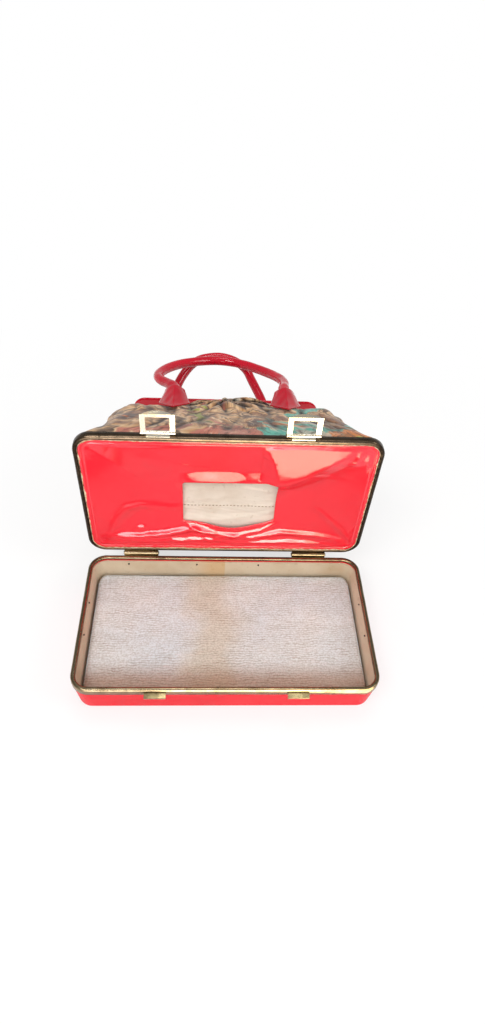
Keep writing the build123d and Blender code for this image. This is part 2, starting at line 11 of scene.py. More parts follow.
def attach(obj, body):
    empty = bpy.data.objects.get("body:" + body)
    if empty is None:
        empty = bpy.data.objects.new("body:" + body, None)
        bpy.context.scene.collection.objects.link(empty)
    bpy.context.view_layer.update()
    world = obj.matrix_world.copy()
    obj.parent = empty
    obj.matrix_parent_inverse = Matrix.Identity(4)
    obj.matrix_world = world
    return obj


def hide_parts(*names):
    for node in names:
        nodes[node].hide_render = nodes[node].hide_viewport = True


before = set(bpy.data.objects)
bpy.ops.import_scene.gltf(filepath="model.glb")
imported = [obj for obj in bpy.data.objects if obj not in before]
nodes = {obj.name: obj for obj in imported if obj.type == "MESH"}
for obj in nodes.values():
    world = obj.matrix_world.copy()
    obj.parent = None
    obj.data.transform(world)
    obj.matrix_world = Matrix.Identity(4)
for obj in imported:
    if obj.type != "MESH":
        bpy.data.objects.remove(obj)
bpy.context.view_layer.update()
scene = bpy.context.scene
pi = np.pi


# Helpers
# Points are worked out in mm with the bag closed and upright: x right, y back from the rims' back edge, z up
# from the plane where the rims meet. seat says where that edge, that plane and the hinge lie in the frame.
seat = {"back": 88.0, "level": 46.0, "hinge": 91.0}


def bagPlace(x, y, z):  # turned back a quarter turn about the hinge, then to metres
    up = seat["level"] + seat["hinge"] - seat["back"] - y
    return np.stack(np.broadcast_arrays(x, seat["hinge"] + z, up), axis=-1) / 1000.0


def trayPlace(x, y, z):  # the tray stays as it is
    return np.stack(np.broadcast_arrays(x, seat["back"] + y, seat["level"] + z), axis=-1) / 1000.0


def ease(t):  # 0 to 1 with soft ends: 3t^2 - 2t^3
    t = np.clip(t, 0.0, 1.0)
    return t * t * (3.0 - 2.0 * t)


def curveThrough(xs, ys, x):  # a smooth line through given heights: cubic pieces with averaged slopes
    xs, ys = np.asarray(xs, float), np.asarray(ys, float)
    h, d = np.diff(xs), np.diff(ys) / np.diff(xs)
    m = np.concatenate([d[:1], (d[:-1] * h[1:] + d[1:] * h[:-1]) / (h[:-1] + h[1:]), d[-1:]])
    i = np.clip(np.searchsorted(xs, x) - 1, 0, len(xs) - 2)
    t = (x - xs[i]) / h[i]
    return (ys[i] * (2 * t**3 - 3 * t**2 + 1) + ys[i + 1] * (3 * t**2 - 2 * t**3)
            + h[i] * (m[i] * (t**3 - 2 * t**2 + t) + m[i + 1] * (t**3 - t**2)))


def roundedRing(half, front, back, radius, u):
    # A rounded rectangle walked by u from 0 to 8: left, corner, front, corner, right, corner, back, corner.
    k, f = np.floor(u).astype(int) % 8, u - np.floor(u)
    half, front, back, radius, k, f = np.broadcast_arrays(half, front, back, radius, k, f)
    a = np.radians(np.select([k == 1, k == 3, k == 5], [180 + 90 * f, 270 + 90 * f, 90 * f], 90 + 90 * f))
    cx = np.where((k == 1) | (k == 7), -half + radius, half - radius)
    cy = np.where((k == 1) | (k == 3), front + radius, back - radius)
    runX, runY = 2 * (half - radius), back - front - 2 * radius
    x = np.select([k == 0, k == 2, k == 4, k == 6],
                  [-half, -half + radius + f * runX, half, half - radius - f * runX], cx + radius * np.cos(a))
    y = np.select([k == 0, k == 2, k == 4, k == 6],
                  [back - radius - f * runY, front, front + radius + f * runY, back], cy + radius * np.sin(a))
    nx = np.select([k == 0, k == 2, k == 4, k == 6], [-1.0, 0.0, 1.0, 0.0], np.cos(a))
    ny = np.select([k == 0, k == 2, k == 4, k == 6], [0.0, -1.0, 0.0, 1.0], np.sin(a))
    return x, y, nx, ny


def ringSteps(side, corner, front):  # u values with more steps on the long runs
    counts = (side, corner, front, corner, side, corner, front, corner)
    return np.concatenate([k + np.arange(n) / n for k, n in enumerate(counts)])


# The rounded outline that the tray's and the bag's metal rims share, in mm.
rim = {"half": 160.0, "front": -176.0, "back": 0.0, "corner": 20.0}


def rimRing(inset, u):  # the rims' outline moved inwards by inset
    return roundedRing(rim["half"] - inset, rim["front"] + inset, rim["back"] - inset, rim["corner"] - inset, u)


def lineSteps(*line):  # how far along a line each of its points is, from one array for each axis
    return np.concatenate([[0], np.cumsum(np.linalg.norm(np.diff(np.stack(line, axis=1), axis=0), axis=1))])


def pointsAlong(line, steps, places):  # the points of a line that lie at the given distances along it
    return np.stack([np.interp(places, steps, line[:, i]) for i in range(3)], axis=1)


def unit(vectors):  # each row divided by its length
    return vectors / np.linalg.norm(vectors, axis=1, keepdims=True)


def newPiece(name, points, faces):  # a smooth object from its points and the corners of its faces
    mesh = bpy.data.meshes.new(name)
    mesh.from_pydata(points.reshape(-1, 3).tolist(), [], faces)
    mesh.polygons.foreach_set("use_smooth", np.ones(len(faces), bool))
    piece = bpy.data.objects.new(name, mesh)
    scene.collection.objects.link(piece)
    return piece


def gridMesh(name, points, uv=None, loopU=False, loopV=False, flip=False, marks=None, period=None):
    # points is (rows, columns, 3); neighbours are joined by four-sided faces, and loops close on themselves.
    # Where the cut starts again after a period, the last column of faces runs on past the seam instead.
    rows, cols = points.shape[:2]
    index = np.arange(rows * cols).reshape(rows, cols)
    a = index if loopV else index[:-1]
    b = np.roll(index, -1, axis=0) if loopV else index[1:]
    if loopU:
        quads = np.stack([a, np.roll(a, -1, axis=1), np.roll(b, -1, axis=1), b], axis=-1).reshape(-1, 4)
    else:
        quads = np.stack([a[:, :-1], a[:, 1:], b[:, 1:], b[:, :-1]], axis=-1).reshape(-1, 4)
    if flip:
        quads = quads[:, ::-1]
    piece = newPiece(name, points, quads.tolist())
    if uv is not None:
        corners = np.stack(np.broadcast_arrays(*uv), axis=-1).reshape(-1, 2)[quads]
        if period:
            torn = np.ptp(corners[:, :, 0], axis=1) > period / 2
            along = corners[torn, :, 0]
            corners[torn, :, 0] = np.where(along < period / 2, along + period, along)
        layer = piece.data.uv_layers.new(name="cut")
        layer.data.foreach_set("uv", corners.astype(np.float32).reshape(-1))
    for mark, values in (marks or {}).items():  # one number for each point, which the material reads
        layer = piece.data.attributes.new(mark, "FLOAT", "POINT")
        layer.data.foreach_set("value", np.broadcast_to(values, (rows, cols)).astype(np.float32).reshape(-1))
    return piece


def closeMesh(piece, fillEnds=False):  # merge doubles, or fill the open ends, then turn all faces outwards
    bm = bmesh.new()
    bm.from_mesh(piece.data)
    if fillEnds:
        bmesh.ops.holes_fill(bm, edges=[edge for edge in bm.edges if edge.is_boundary], sides=0)
    else:
        bmesh.ops.remove_doubles(bm, verts=bm.verts, dist=1e-6)
    bmesh.ops.recalc_face_normals(bm, faces=bm.faces)
    bm.to_mesh(piece.data)
    bm.free()


def softLine(points, perRun):
    # A smooth line that starts and ends on the first and last point: quadratic B-spline with even steps.
    p = np.asarray(points, float)
    halfway = (p[1:-2] + p[2:-1]) / 2
    starts, mids, ends = np.vstack([p[:1], halfway]), p[1:-1], np.vstack([halfway, p[-1:]])
    t = np.linspace(0, 1, perRun, endpoint=False)[None, :, None]
    line = (1 - t)**2 * starts[:, None] + 2 * t * (1 - t) * mids[:, None] + t**2 * ends[:, None]
    line = np.vstack([line.reshape(-1, 3), p[-1:]])
    steps = lineSteps(*line.T)
    even = np.linspace(0, steps[-1], len(line))
    return pointsAlong(line, steps, even), even


def ringsAlong(line, tangent, radius, ringCount, side):
    # Circles square to a line: radius times (across cos a + upward sin a). side is a fixed direction that
    # keeps them from twisting.
    tangent = unit(tangent)
    across = unit(np.cross(tangent, side))
    upward = np.cross(across, tangent)
    a = np.linspace(0, 2 * pi, ringCount, endpoint=False)
    ring = across[:, None] * np.cos(a)[None, :, None] + upward[:, None] * np.sin(a)[None, :, None]
    return line[:, None] + ring * np.broadcast_to(radius, (len(line), ringCount))[..., None]


def tubeMesh(name, line, radius, ringCount, side, girth=0.04):  # filled at its ends; girth is for its cut
    points = ringsAlong(line, np.gradient(line, axis=0), radius, ringCount, side)
    around = np.arange(ringCount)[None, :] / ringCount * girth
    piece = gridMesh(name, points, uv=(around, lineSteps(*line.T)[:, None]), loopU=True, period=girth)
    closeMesh(piece, fillEnds=True)
    return piece


def ringTube(name, line, radius, ringCount, side):  # a tube round a closed line
    tangent = np.roll(line, -1, axis=0) - np.roll(line, 1, axis=0)
    piece = gridMesh(name, ringsAlong(line, tangent, radius, ringCount, side), loopU=True, loopV=True)
    closeMesh(piece)
    return piece


def stitchRun(name, line, normal, stitch, gap, thread):
    # Short thread bars laid along a line: each is a six-sided bar whose ends get narrower and dip into the
    # cloth. stitch and gap are lengths, thread is the bar's radius.
    steps = lineSteps(*line.T)
    count = max(int(steps[-1] / (stitch + gap)), 1)
    mid = (np.arange(count) + 0.5) * steps[-1] / count
    centre = pointsAlong(line, steps, mid)
    tangent = unit(pointsAlong(line, steps, mid + stitch * 0.3) - centre)
    side = unit(np.cross(tangent, np.broadcast_to(normal, centre.shape)))
    up = np.cross(side, tangent)
    ahead = np.array([-0.5, -0.36, 0.36, 0.5]) * stitch
    width = np.array([0.35, 1.0, 1.0, 0.35])[:, None] * thread
    dip = np.array([-0.9, 0.0, 0.0, -0.9])[:, None] * thread
    a = np.arange(6) * pi / 3
    points = (centre[:, None, None] + tangent[:, None, None] * ahead[None, :, None, None]
              + side[:, None, None] * (width * np.cos(a))[None, :, :, None]
              + up[:, None, None] * (width * np.sin(a) + dip)[None, :, :, None])
    first = np.arange(count)[:, None] * 24
    i, j = np.meshgrid(np.arange(3), np.arange(6), indexing="ij")
    quad = np.stack([i * 6 + j, i * 6 + (j + 1) % 6, (i + 1) * 6 + (j + 1) % 6, (i + 1) * 6 + j], axis=-1)
    faces = (first[:, :, None] + quad.reshape(1, -1, 4)).reshape(-1, 4).tolist()
    faces += (first + np.arange(6)[::-1]).tolist() + (first + 18 + np.arange(6)).tolist()
    return newPiece(name, points, faces)


def waveNoise(x, y, seed, length, layers=5):
    # Smooth unevenness from -1 to 1: plane waves of about the given length with seeded directions and phases.
    rng = np.random.default_rng(seed)
    total = 0.0
    for _ in range(layers):
        a, phase, size = rng.uniform(0, 2 * pi), rng.uniform(0, 2 * pi), length * rng.uniform(0.6, 1.5)
        total = total + np.sin(2 * pi / size * (x * np.cos(a) + y * np.sin(a)) + phase)
    return total / layers


def dress(piece, material, body):
    piece.data.materials.clear()
    piece.data.materials.append(material)
    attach(piece, body)
    return piece


# Materials
waveStep = 314.0  # mm after which a Wave texture of scale 1 repeats
def colour(hexValue):  # sRGB hex to the linear colour that the shader takes
    value = np.array([int(hexValue[i:i + 2], 16) for i in (1, 3, 5)]) / 255.0
    linear = np.where(value <= 0.04045, value / 12.92, ((value + 0.055) / 1.055)**2.4)
    return (*linear.tolist(), 1.0)


def addNode(tree, kind, ins=None, **settings):
    made = tree.nodes.new(kind)
    for key, value in settings.items():
        setattr(made, key, value)
    for key, value in (ins or {}).items():
        if isinstance(value, bpy.types.NodeSocket):
            tree.links.new(value, made.inputs[key])
        else:
            made.inputs[key].default_value = value
    return made


def ramp(tree, fac, stops, interpolation="LINEAR"):
    made = addNode(tree, "ShaderNodeValToRGB", {"Fac": fac})
    made.color_ramp.interpolation = interpolation
    while len(made.color_ramp.elements) < len(stops):
        made.color_ramp.elements.new(0.5)
    for element, (place, value) in zip(made.color_ramp.elements, stops):
        element.position = place
        element.color = colour(value) if isinstance(value, str) else (value, value, value, 1.0)
    return made.outputs["Color"]


def mixColour(tree, fac, a, b, blend="MIX"):
    made = addNode(tree, "ShaderNodeMix", data_type="RGBA", blend_type=blend)
    for key, value in ((0, fac), (6, a), (7, b)):
        if isinstance(value, bpy.types.NodeSocket):
            tree.links.new(value, made.inputs[key])
        else:
            made.inputs[key].default_value = value
    return made.outputs[2]


def newMaterial(name):
    material = bpy.data.materials.new(name)
    material.use_nodes = True
    tree = material.node_tree
    shader = tree.nodes["Principled BSDF"]
    coords = addNode(tree, "ShaderNodeTexCoord")
    return material, tree, shader, coords


def linkTo(tree, shader, **sockets):
    for key, value in sockets.items():
        tree.links.new(value, shader.inputs[key.replace("_", " ")])


# Patent vinyl: woven backing under a thick clear PVC skin, calendered smooth. Reads as a deep flat red with
# sharp mirror lights broken by a slow ripple.
patent = {"base": "#F71F33", "deep": "#EE1B2E", "roughness": 0.4, "coatRoughness": 0.13, "coatIor": 1.62}


def patentVinyl(name, base, deep, rippleHeight, useUv=False, coat=1.0, coatIor=1.5, coatRoughness=0.03):
    material, tree, shader, coords = newMaterial(name)
    place = coords.outputs["UV" if useUv else "Object"]
    cloudy = addNode(tree, "ShaderNodeTexNoise", {"Vector": place, "Scale": 14.0, "Detail": 3.0}).outputs["Fac"]
    linkTo(tree, shader, Base_Color=ramp(tree, cloudy, [(0.3, deep), (0.62, base)]))
    shader.inputs["Roughness"].default_value = patent["roughness"]
    shader.inputs["Coat Weight"].default_value = coat
    shader.inputs["Coat IOR"].default_value = coatIor
    shader.inputs["Coat Roughness"].default_value = coatRoughness
    shader.inputs["Specular IOR Level"].default_value = 0.0
    slow = addNode(tree, "ShaderNodeTexNoise", {"Vector": place, "Scale": 45.0, "Detail": 2.0})  # 22 mm ripple
    fine = addNode(tree, "ShaderNodeTexNoise", {"Vector": place, "Scale": 700.0, "Detail": 2.0})  # 1.4 mm peel
    first = addNode(tree, "ShaderNodeBump", {"Height": slow.outputs["Fac"], "Strength": rippleHeight,
                                             "Distance": 0.01})
    second = addNode(tree, "ShaderNodeBump", {"Height": fine.outputs["Fac"], "Strength": 0.02, "Distance": 0.002,
                                              "Normal": first.outputs["Normal"]})
    linkTo(tree, shader, Normal=second.outputs["Normal"], Coat_Normal=second.outputs["Normal"])
    return material


# Gold-plated steel channel, rolled and buffed, with the plating gone dull and brown in patches; a mark on each
# point darkens it towards near black in the corners and along the lip, partly for tarnish and partly as painted
# shade and painted dark reflection.
def goldPlate(name, bright, dull, dark, roughness, wearScale, kinkStrength):
    material, tree, shader, coords = newMaterial(name)
    place = coords.outputs["Object"]
    wear = addNode(tree, "ShaderNodeTexNoise", {"Vector": place, "Scale": wearScale, "Detail": 5.0,
                                                "Roughness": 0.65}).outputs["Fac"]
    plating = ramp(tree, wear, [(0.3, dark), (0.42, dull), (0.6, bright)])
    tarnishAndShade = addNode(tree, "ShaderNodeAttribute", attribute_name="tarnishAndShade").outputs["Fac"]
    # the mark mixes in near black: partly tarnish, partly painted shade and painted dark reflection
    linkTo(tree, shader, Base_Color=mixColour(tree, tarnishAndShade, plating, colour("#1C1511")))
    shader.inputs["Metallic"].default_value = 1.0
    rough = addNode(tree, "ShaderNodeMapRange", {"Value": wear, "From Min": 0.3, "From Max": 0.7,
                                                 "To Min": roughness + 0.2, "To Max": roughness})
    linkTo(tree, shader, Roughness=rough.outputs["Result"])
    kinks = addNode(tree, "ShaderNodeTexNoise", {"Vector": place, "Scale": 190.0, "Detail": 2.0})  # 5 mm kinks
    buffing = addNode(tree, "ShaderNodeTexNoise", {"Vector": place, "Scale": 1400.0, "Detail": 1.0})
    first = addNode(tree, "ShaderNodeBump", {"Height": kinks.outputs["Fac"], "Strength": kinkStrength,
                                             "Distance": 0.002})
    second = addNode(tree, "ShaderNodeBump", {"Height": buffing.outputs["Fac"], "Strength": 0.04,
                                              "Distance": 0.0005, "Normal": first.outputs["Normal"]})
    linkTo(tree, shader, Normal=second.outputs["Normal"])
    return material


# Cotton twill lining glued to board: matt, tan, with a thread every 1.1 mm (real thread 0.4 mm, drawn coarser
# to show). Ochre: yellowed glue left of the seam on the back wall, as axis, start and end in metres, its share
# at both, and how it grows.
liningLook = {"pitch": 1.1, "ochre": (("X", -0.046, -0.012, 0.0, 0.55, "SMOOTHSTEP"),
                                      ("X", -0.0007, 0.0003, 1.0, 0.0, "LINEAR"),
                                      ("Y", 0.066, 0.074, 0.0, 1.0, "LINEAR"))}


def liningCloth(name, light, dark, stain, ochre=None):
    material, tree, shader, coords = newMaterial(name)
    place = coords.outputs["Object"]
    blotch = addNode(tree, "ShaderNodeTexNoise", {"Vector": place, "Scale": 22.0, "Detail": 5.0}).outputs["Fac"]
    base = ramp(tree, blotch, [(0.28, dark), (0.55, light), (0.8, light)])
    spots = addNode(tree, "ShaderNodeTexNoise", {"Vector": place, "Scale": 160.0, "Detail": 3.0}).outputs["Fac"]
    base = mixColour(tree, ramp(tree, spots, [(0.62, 0.0), (0.8, 0.5)]), base, colour(stain))
    if ochre:
        split = addNode(tree, "ShaderNodeSeparateXYZ", {"Vector": place})
        share = 1.0
        for axis, start, end, low, high, growth in liningLook["ochre"]:
            fade = addNode(tree, "ShaderNodeMapRange", {"Value": split.outputs[axis], "From Min": start,
                                                        "From Max": end, "To Min": low, "To Max": high},
                           interpolation_type=growth).outputs["Result"]
            share = addNode(tree, "ShaderNodeMath", {0: share, 1: fade}, operation="MULTIPLY").outputs[0]
        base = mixColour(tree, share, base, colour(ochre))
    height = 0.0
    for direction in "XZY":
        threads = addNode(tree, "ShaderNodeTexWave", {"Vector": place, "Scale": waveStep / liningLook["pitch"],
                                                      "Distortion": 0.4}, bands_direction=direction)
        height = addNode(tree, "ShaderNodeMath", {0: height, 1: threads.outputs["Fac"]},
                         operation="ADD").outputs[0]
    linkTo(tree, shader, Base_Color=base)
    shader.inputs["Roughness"].default_value = 0.85
    shader.inputs["Specular IOR Level"].default_value = 0.2
    shader.inputs["Sheen Weight"].default_value = 0.15
    bump = addNode(tree, "ShaderNodeBump", {"Height": height, "Strength": 0.25, "Distance": 0.0004})
    linkTo(tree, shader, Normal=bump.outputs["Normal"])
    return material


# Embossed vinyl over foam: ivory, gone tan where it was handled, with pressed wavy lines 3 mm apart. The tan
# band lies left of the middle; the brown along the front is painted shade, the shadow of the tray's front wall;
# both as places in metres and greatest share.
padLook = {"light": "#D8DAD7", "cool": "#CED5D8", "tan": "#CAC0AC", "edge": "#9A7557", "lines": 3.0,
           "bandMiddle": 0.030, "bandReach": (0.006, 0.05), "frontShadeReach": (-0.066, -0.036), "share": 0.75}


def padVinyl():
    material, tree, shader, coords = newMaterial("embossedIvoryVinyl")
    place = coords.outputs["Object"]
    split = addNode(tree, "ShaderNodeSeparateXYZ", {"Vector": place})
    slow = addNode(tree, "ShaderNodeTexNoise", {"Vector": place, "Scale": 17.0, "Detail": 4.0}).outputs["Fac"]
    base = ramp(tree, slow, [(0.3, padLook["cool"]), (0.7, padLook["light"])])
    # the tan band's edge wanders with the slow noise
    wander = addNode(tree, "ShaderNodeMath", {0: slow, 1: 0.09}, operation="MULTIPLY").outputs[0]
    bandX = addNode(tree, "ShaderNodeMath", {0: split.outputs["X"], 1: wander}, operation="ADD").outputs[0]
    bandX = addNode(tree, "ShaderNodeMath", {0: bandX, 1: -padLook["bandMiddle"]}, operation="ADD").outputs[0]
    bandX = addNode(tree, "ShaderNodeMath", {0: bandX}, operation="ABSOLUTE").outputs[0]
    # the tan band, then painted shade: brown along the front edge, where the tray's front wall shades the pad
    for value, reach, shade in ((bandX, padLook["bandReach"], padLook["tan"]),
                                (split.outputs["Y"], padLook["frontShadeReach"], padLook["edge"])):
        fade = addNode(tree, "ShaderNodeMapRange", {"Value": value, "From Min": reach[0], "From Max": reach[1],
                                                    "To Min": padLook["share"], "To Max": 0.0},
                       interpolation_type="SMOOTHSTEP").outputs["Result"]
        base = mixColour(tree, fade, base, colour(shade))
    lines = addNode(tree, "ShaderNodeTexWave", {"Vector": place, "Scale": waveStep / padLook["lines"],
                                                "Distortion": 9.0, "Detail": 3.0, "Detail Scale": 0.5,
                                                "Detail Roughness": 0.62}, bands_direction="Y").outputs["Fac"]
    grain = addNode(tree, "ShaderNodeTexNoise", {"Vector": place, "Scale": 520.0, "Detail": 3.0}).outputs["Fac"]
    crease = ramp(tree, lines, [(0.0, 0.0), (0.32, 1.0)])
    squeezed = addNode(tree, "ShaderNodeMapping", {"Vector": place, "Scale": (1.0, 2.6, 1.0)}).outputs["Vector"]
    patches = addNode(tree, "ShaderNodeTexNoise", {"Vector": squeezed, "Scale": 34.0, "Detail": 5.0,
                                                   "Roughness": 0.7}).outputs["Fac"]
    shown = ramp(tree, patches, [(0.4, 0.0), (0.62, 0.75)])
    dark = mixColour(tree, crease, colour("#BBA999"), colour("#FFFFFF"))
    shade = mixColour(tree, shown, colour("#FFFFFF"), dark)
    base = mixColour(tree, 1.0, base, shade, "MULTIPLY")
    specks = ramp(tree, grain, [(0.36, "#CFC6BC"), (0.6, "#FFFFFF")])
    base = mixColour(tree, 0.6, base, specks, "MULTIPLY")
    linkTo(tree, shader, Base_Color=base)
    shader.inputs["Roughness"].default_value = 0.55
    shader.inputs["Specular IOR Level"].default_value = 0.35
    first = addNode(tree, "ShaderNodeBump", {"Height": crease, "Strength": 0.35, "Distance": 0.0006})
    second = addNode(tree, "ShaderNodeBump", {"Height": grain, "Strength": 0.3, "Distance": 0.0006,
                                              "Normal": first.outputs["Normal"]})
    linkTo(tree, shader, Normal=second.outputs["Normal"])
    return material


# Printed satin: thin matt-shining cloth with a busy painted-looking print of leaf and stone shapes in creams,
# umbers and greys with turquoise, pink, green and orange patches. The pattern reads the cloth's own cut (UV,
# metres). Patches: seed of the noise, where it starts, colour.
printLook = {"tones": 15.0, "patches": 11.0, "lines": 2.6,
             "toneStops": [(0.34, "#4E3A30"), (0.4, "#957153"), (0.435, "#D6BE9A"), (0.46, "#3B2A22"),
                           (0.472, "#DCCDB4"), (0.51, "#B99A76"), (0.54, "#6F5245"), (0.565, "#DDD0BA"),
                           (0.6, "#B08B73"), (0.64, "#5B473E"), (0.69, "#D9CCB6")],
             "patchColours": ((3.0, 0.572, "#3DC4CC"), (4.0, 0.595, "#B8706A"), (5.0, 0.612, "#9AB840"),
                              (6.0, 0.612, "#D27E30"), (7.0, 0.62, "#AEBBC2"))}


def printedCloth(name="printedSatin"):
    material, tree, shader, coords = newMaterial(name)
    place = coords.outputs["UV"]
    warp = addNode(tree, "ShaderNodeTexNoise", {"Vector": place, "Scale": 17.0, "W": 1.0, "Detail": 3.0,
                                                "Roughness": 0.55}, noise_dimensions="4D").outputs["Color"]
    shift = addNode(tree, "ShaderNodeVectorMath", {0: warp, 1: (0.07, 0.07, 0.0)}, operation="MULTIPLY")
    bent = addNode(tree, "ShaderNodeVectorMath", {0: place, 1: shift.outputs[0]}, operation="ADD").outputs[0]
    tones = addNode(tree, "ShaderNodeTexNoise", {"Vector": bent, "Scale": printLook["tones"], "W": 2.0,
                                                 "Detail": 2.0, "Roughness": 0.55}, noise_dimensions="4D")
    base = ramp(tree, tones.outputs["Fac"], printLook["toneStops"])
    for seed, low, shade in printLook["patchColours"]:
        patch = addNode(tree, "ShaderNodeTexNoise", {"Vector": bent, "Scale": printLook["patches"], "W": seed,
                                                     "Detail": 3.0, "Roughness": 0.6}, noise_dimensions="4D")
        shown = ramp(tree, patch.outputs["Fac"], [(low, 0.0), (low + 0.012, 0.85)])
        base = mixColour(tree, shown, base, colour(shade))
    streaks = addNode(tree, "ShaderNodeMapping", {"Vector": bent, "Scale": (1.0, 0.3, 1.0),
                                                  "Rotation": (0.0, 0.0, 0.5)})
    strokes = addNode(tree, "ShaderNodeTexNoise", {"Vector": streaks.outputs["Vector"], "Scale": 150.0, "W": 8.0,
                                                   "Detail": 4.0, "Roughness": 0.65},
                      noise_dimensions="4D").outputs["Fac"]
    base = mixColour(tree, ramp(tree, strokes, [(0.38, 0.75), (0.5, 0.0)]), base, colour("#4A352A"))
    base = mixColour(tree, ramp(tree, strokes, [(0.56, 0.0), (0.68, 0.6)]), base, colour("#F4ECDC"))
    hatch = addNode(tree, "ShaderNodeTexWave", {"Vector": bent, "Scale": waveStep / printLook["lines"],
                                                "Distortion": 12.0, "Detail": 2.0, "Detail Scale": 0.25})
    drawn = ramp(tree, hatch.outputs["Fac"], [(0.0, 1.0), (0.22, 0.0)])
    areas = addNode(tree, "ShaderNodeTexNoise", {"Vector": bent, "Scale": 21.0, "W": 9.0, "Detail": 3.0,
                                                 "Roughness": 0.55}, noise_dimensions="4D")
    where = ramp(tree, areas.outputs["Fac"], [(0.5, 0.0), (0.6, 0.6)])
    lines = addNode(tree, "ShaderNodeMath", {0: drawn, 1: where}, operation="MULTIPLY")
    base = mixColour(tree, lines.outputs[0], base, colour("#33261F"))
    base = mixColour(tree, 1.0, base, colour("#FFE4C8"), "MULTIPLY")
    # painted shade: the valleys between the gathers, read from the valley mark, are darkened towards near black
    valley = addNode(tree, "ShaderNodeAttribute", attribute_name="valley").outputs["Fac"]
    base = mixColour(tree, ramp(tree, valley, [(0.26, 0.0), (0.7, 0.92)]), base, colour("#22150F"))
    linkTo(tree, shader, Base_Color=base)
    shader.inputs["Roughness"].default_value = 0.5
    shader.inputs["Specular IOR Level"].default_value = 0.35
    shader.inputs["Sheen Weight"].default_value = 0.2
    # threads 0.8 mm apart (real 0.25 mm, drawn coarser to show)
    weave = addNode(tree, "ShaderNodeTexChecker", {"Vector": place, "Scale": 1250.0}).outputs["Fac"]
    crush = addNode(tree, "ShaderNodeTexNoise", {"Vector": place, "Scale": 62.0, "W": 10.0, "Detail": 4.0,
                                                 "Roughness": 0.55}, noise_dimensions="4D").outputs["Fac"]
    first = addNode(tree, "ShaderNodeBump", {"Height": crush, "Strength": 0.3, "Distance": 0.003})
    second = addNode(tree, "ShaderNodeBump", {"Height": weave, "Strength": 0.12, "Distance": 0.0003,
                                              "Normal": first.outputs["Normal"]})
    linkTo(tree, shader, Normal=second.outputs["Normal"])
    return material


# Drawn wire, board, cord, tape, glue and a painted shadow strip: two close tones in soft patches and a fine
# grain.
def plainFinish(name, base, second, roughness, mottleScale, grainScale, grainStrength, metallic=0.0):
    material, tree, shader, coords = newMaterial(name)
    place = coords.outputs["Object"]
    mottle = addNode(tree, "ShaderNodeTexNoise", {"Vector": place, "Scale": mottleScale, "Detail": 4.0})
    linkTo(tree, shader, Base_Color=ramp(tree, mottle.outputs["Fac"], [(0.35, base), (0.65, second)]))
    shader.inputs["Roughness"].default_value = roughness
    shader.inputs["Metallic"].default_value = metallic
    grain = addNode(tree, "ShaderNodeTexNoise", {"Vector": place, "Scale": grainScale, "Detail": 2.0})
    bump = addNode(tree, "ShaderNodeBump", {"Height": grain.outputs["Fac"], "Strength": grainStrength,
                                            "Distance": 0.0006})
    linkTo(tree, shader, Normal=bump.outputs["Normal"])
    return material


bandPatent = patentVinyl("darkRedPatentVinyl", "#BE1626", "#A20F1D", 0.05, coat=0.12)
redPatent = patentVinyl("redPatentVinyl", patent["base"], patent["deep"], 0.05, coatIor=patent["coatIor"],
                        coatRoughness=patent["coatRoughness"])
trayPatent = patentVinyl("redTrayVinyl", "#E8202F", "#DA1A29", 0.05, coat=0.45)
handlePatent = patentVinyl("redHandleVinyl", "#C8122A", "#B00E24", 0.16, useUv=True)
frameGold = goldPlate("agedGoldChannel", "#9F8E71", "#867559", "#594C3A", 0.13, 60.0, 0.04)
# the bag's channel takes a darker, browner copy of the tray's gold: painted shade and painted dark reflection
shadedBagFrameGold = goldPlate("shadedGoldChannel", "#7F6C58", "#675644", "#45382C", 0.13, 60.0, 0.04)
catchGold = goldPlate("dullGoldCatch", "#9A8C66", "#7F7252", "#574C38", 0.16, 80.0, 0.03)
fittingGold = goldPlate("brightGoldPlate", "#FFF6E4", "#F3E6C8", "#C79C6A", 0.1, 42.0, 0.02)
steelPin = plainFinish("bareSteelWire", "#6E675A", "#4C463B", 0.35, 200.0, 1500.0, 0.1, metallic=1.0)
tackSteel = plainFinish("blackenedTack", "#3A302A", "#201A17", 0.5, 300.0, 1500.0, 0.1, metallic=1.0)
trayLiningCloth = liningCloth("tanTwillOnBoard", "#D2BFA4", "#C1A989", "#A9855C", ochre="#CB9F61")
windowCotton = liningCloth("beigeCottonLining", "#E3D5C5", "#D1BFAB", "#B0997F")
innerLining = liningCloth("plainInnerLining", "#CDB592", "#BBA27D", "#A38863")
ivoryPad = padVinyl()
printed = printedCloth()
greyBoard = plainFinish("millboard", "#A08A68", "#8C7757", 0.9, 60.0, 900.0, 0.3)
cordFiller = plainFinish("cottonFillerCord", "#DCD6C4", "#C9C1AC", 0.9, 90.0, 800.0, 0.4)
zipTape = plainFinish("redZipTape", "#A3121C", "#8B0F18", 0.8, 120.0, 1300.0, 0.5)
creamFray = plainFinish("glueStiffenedFray", "#E6D2B0", "#B9824F", 0.8, 260.0, 1600.0, 0.6)
# painted shadow: the dark brown of the strip under the tray's channel
shadowStripFinish = plainFinish("paintedUnderRimShadow", "#5A3028", "#3E211C", 0.5, 140.0, 900.0, 0.3)
redThread = plainFinish("redPolyesterThread", "#B5131E", "#9A0F19", 0.5, 300.0, 2500.0, 0.4)
tanThread = plainFinish("tanCottonThread", "#9B7A55", "#7F6142", 0.8, 300.0, 2500.0, 0.4)

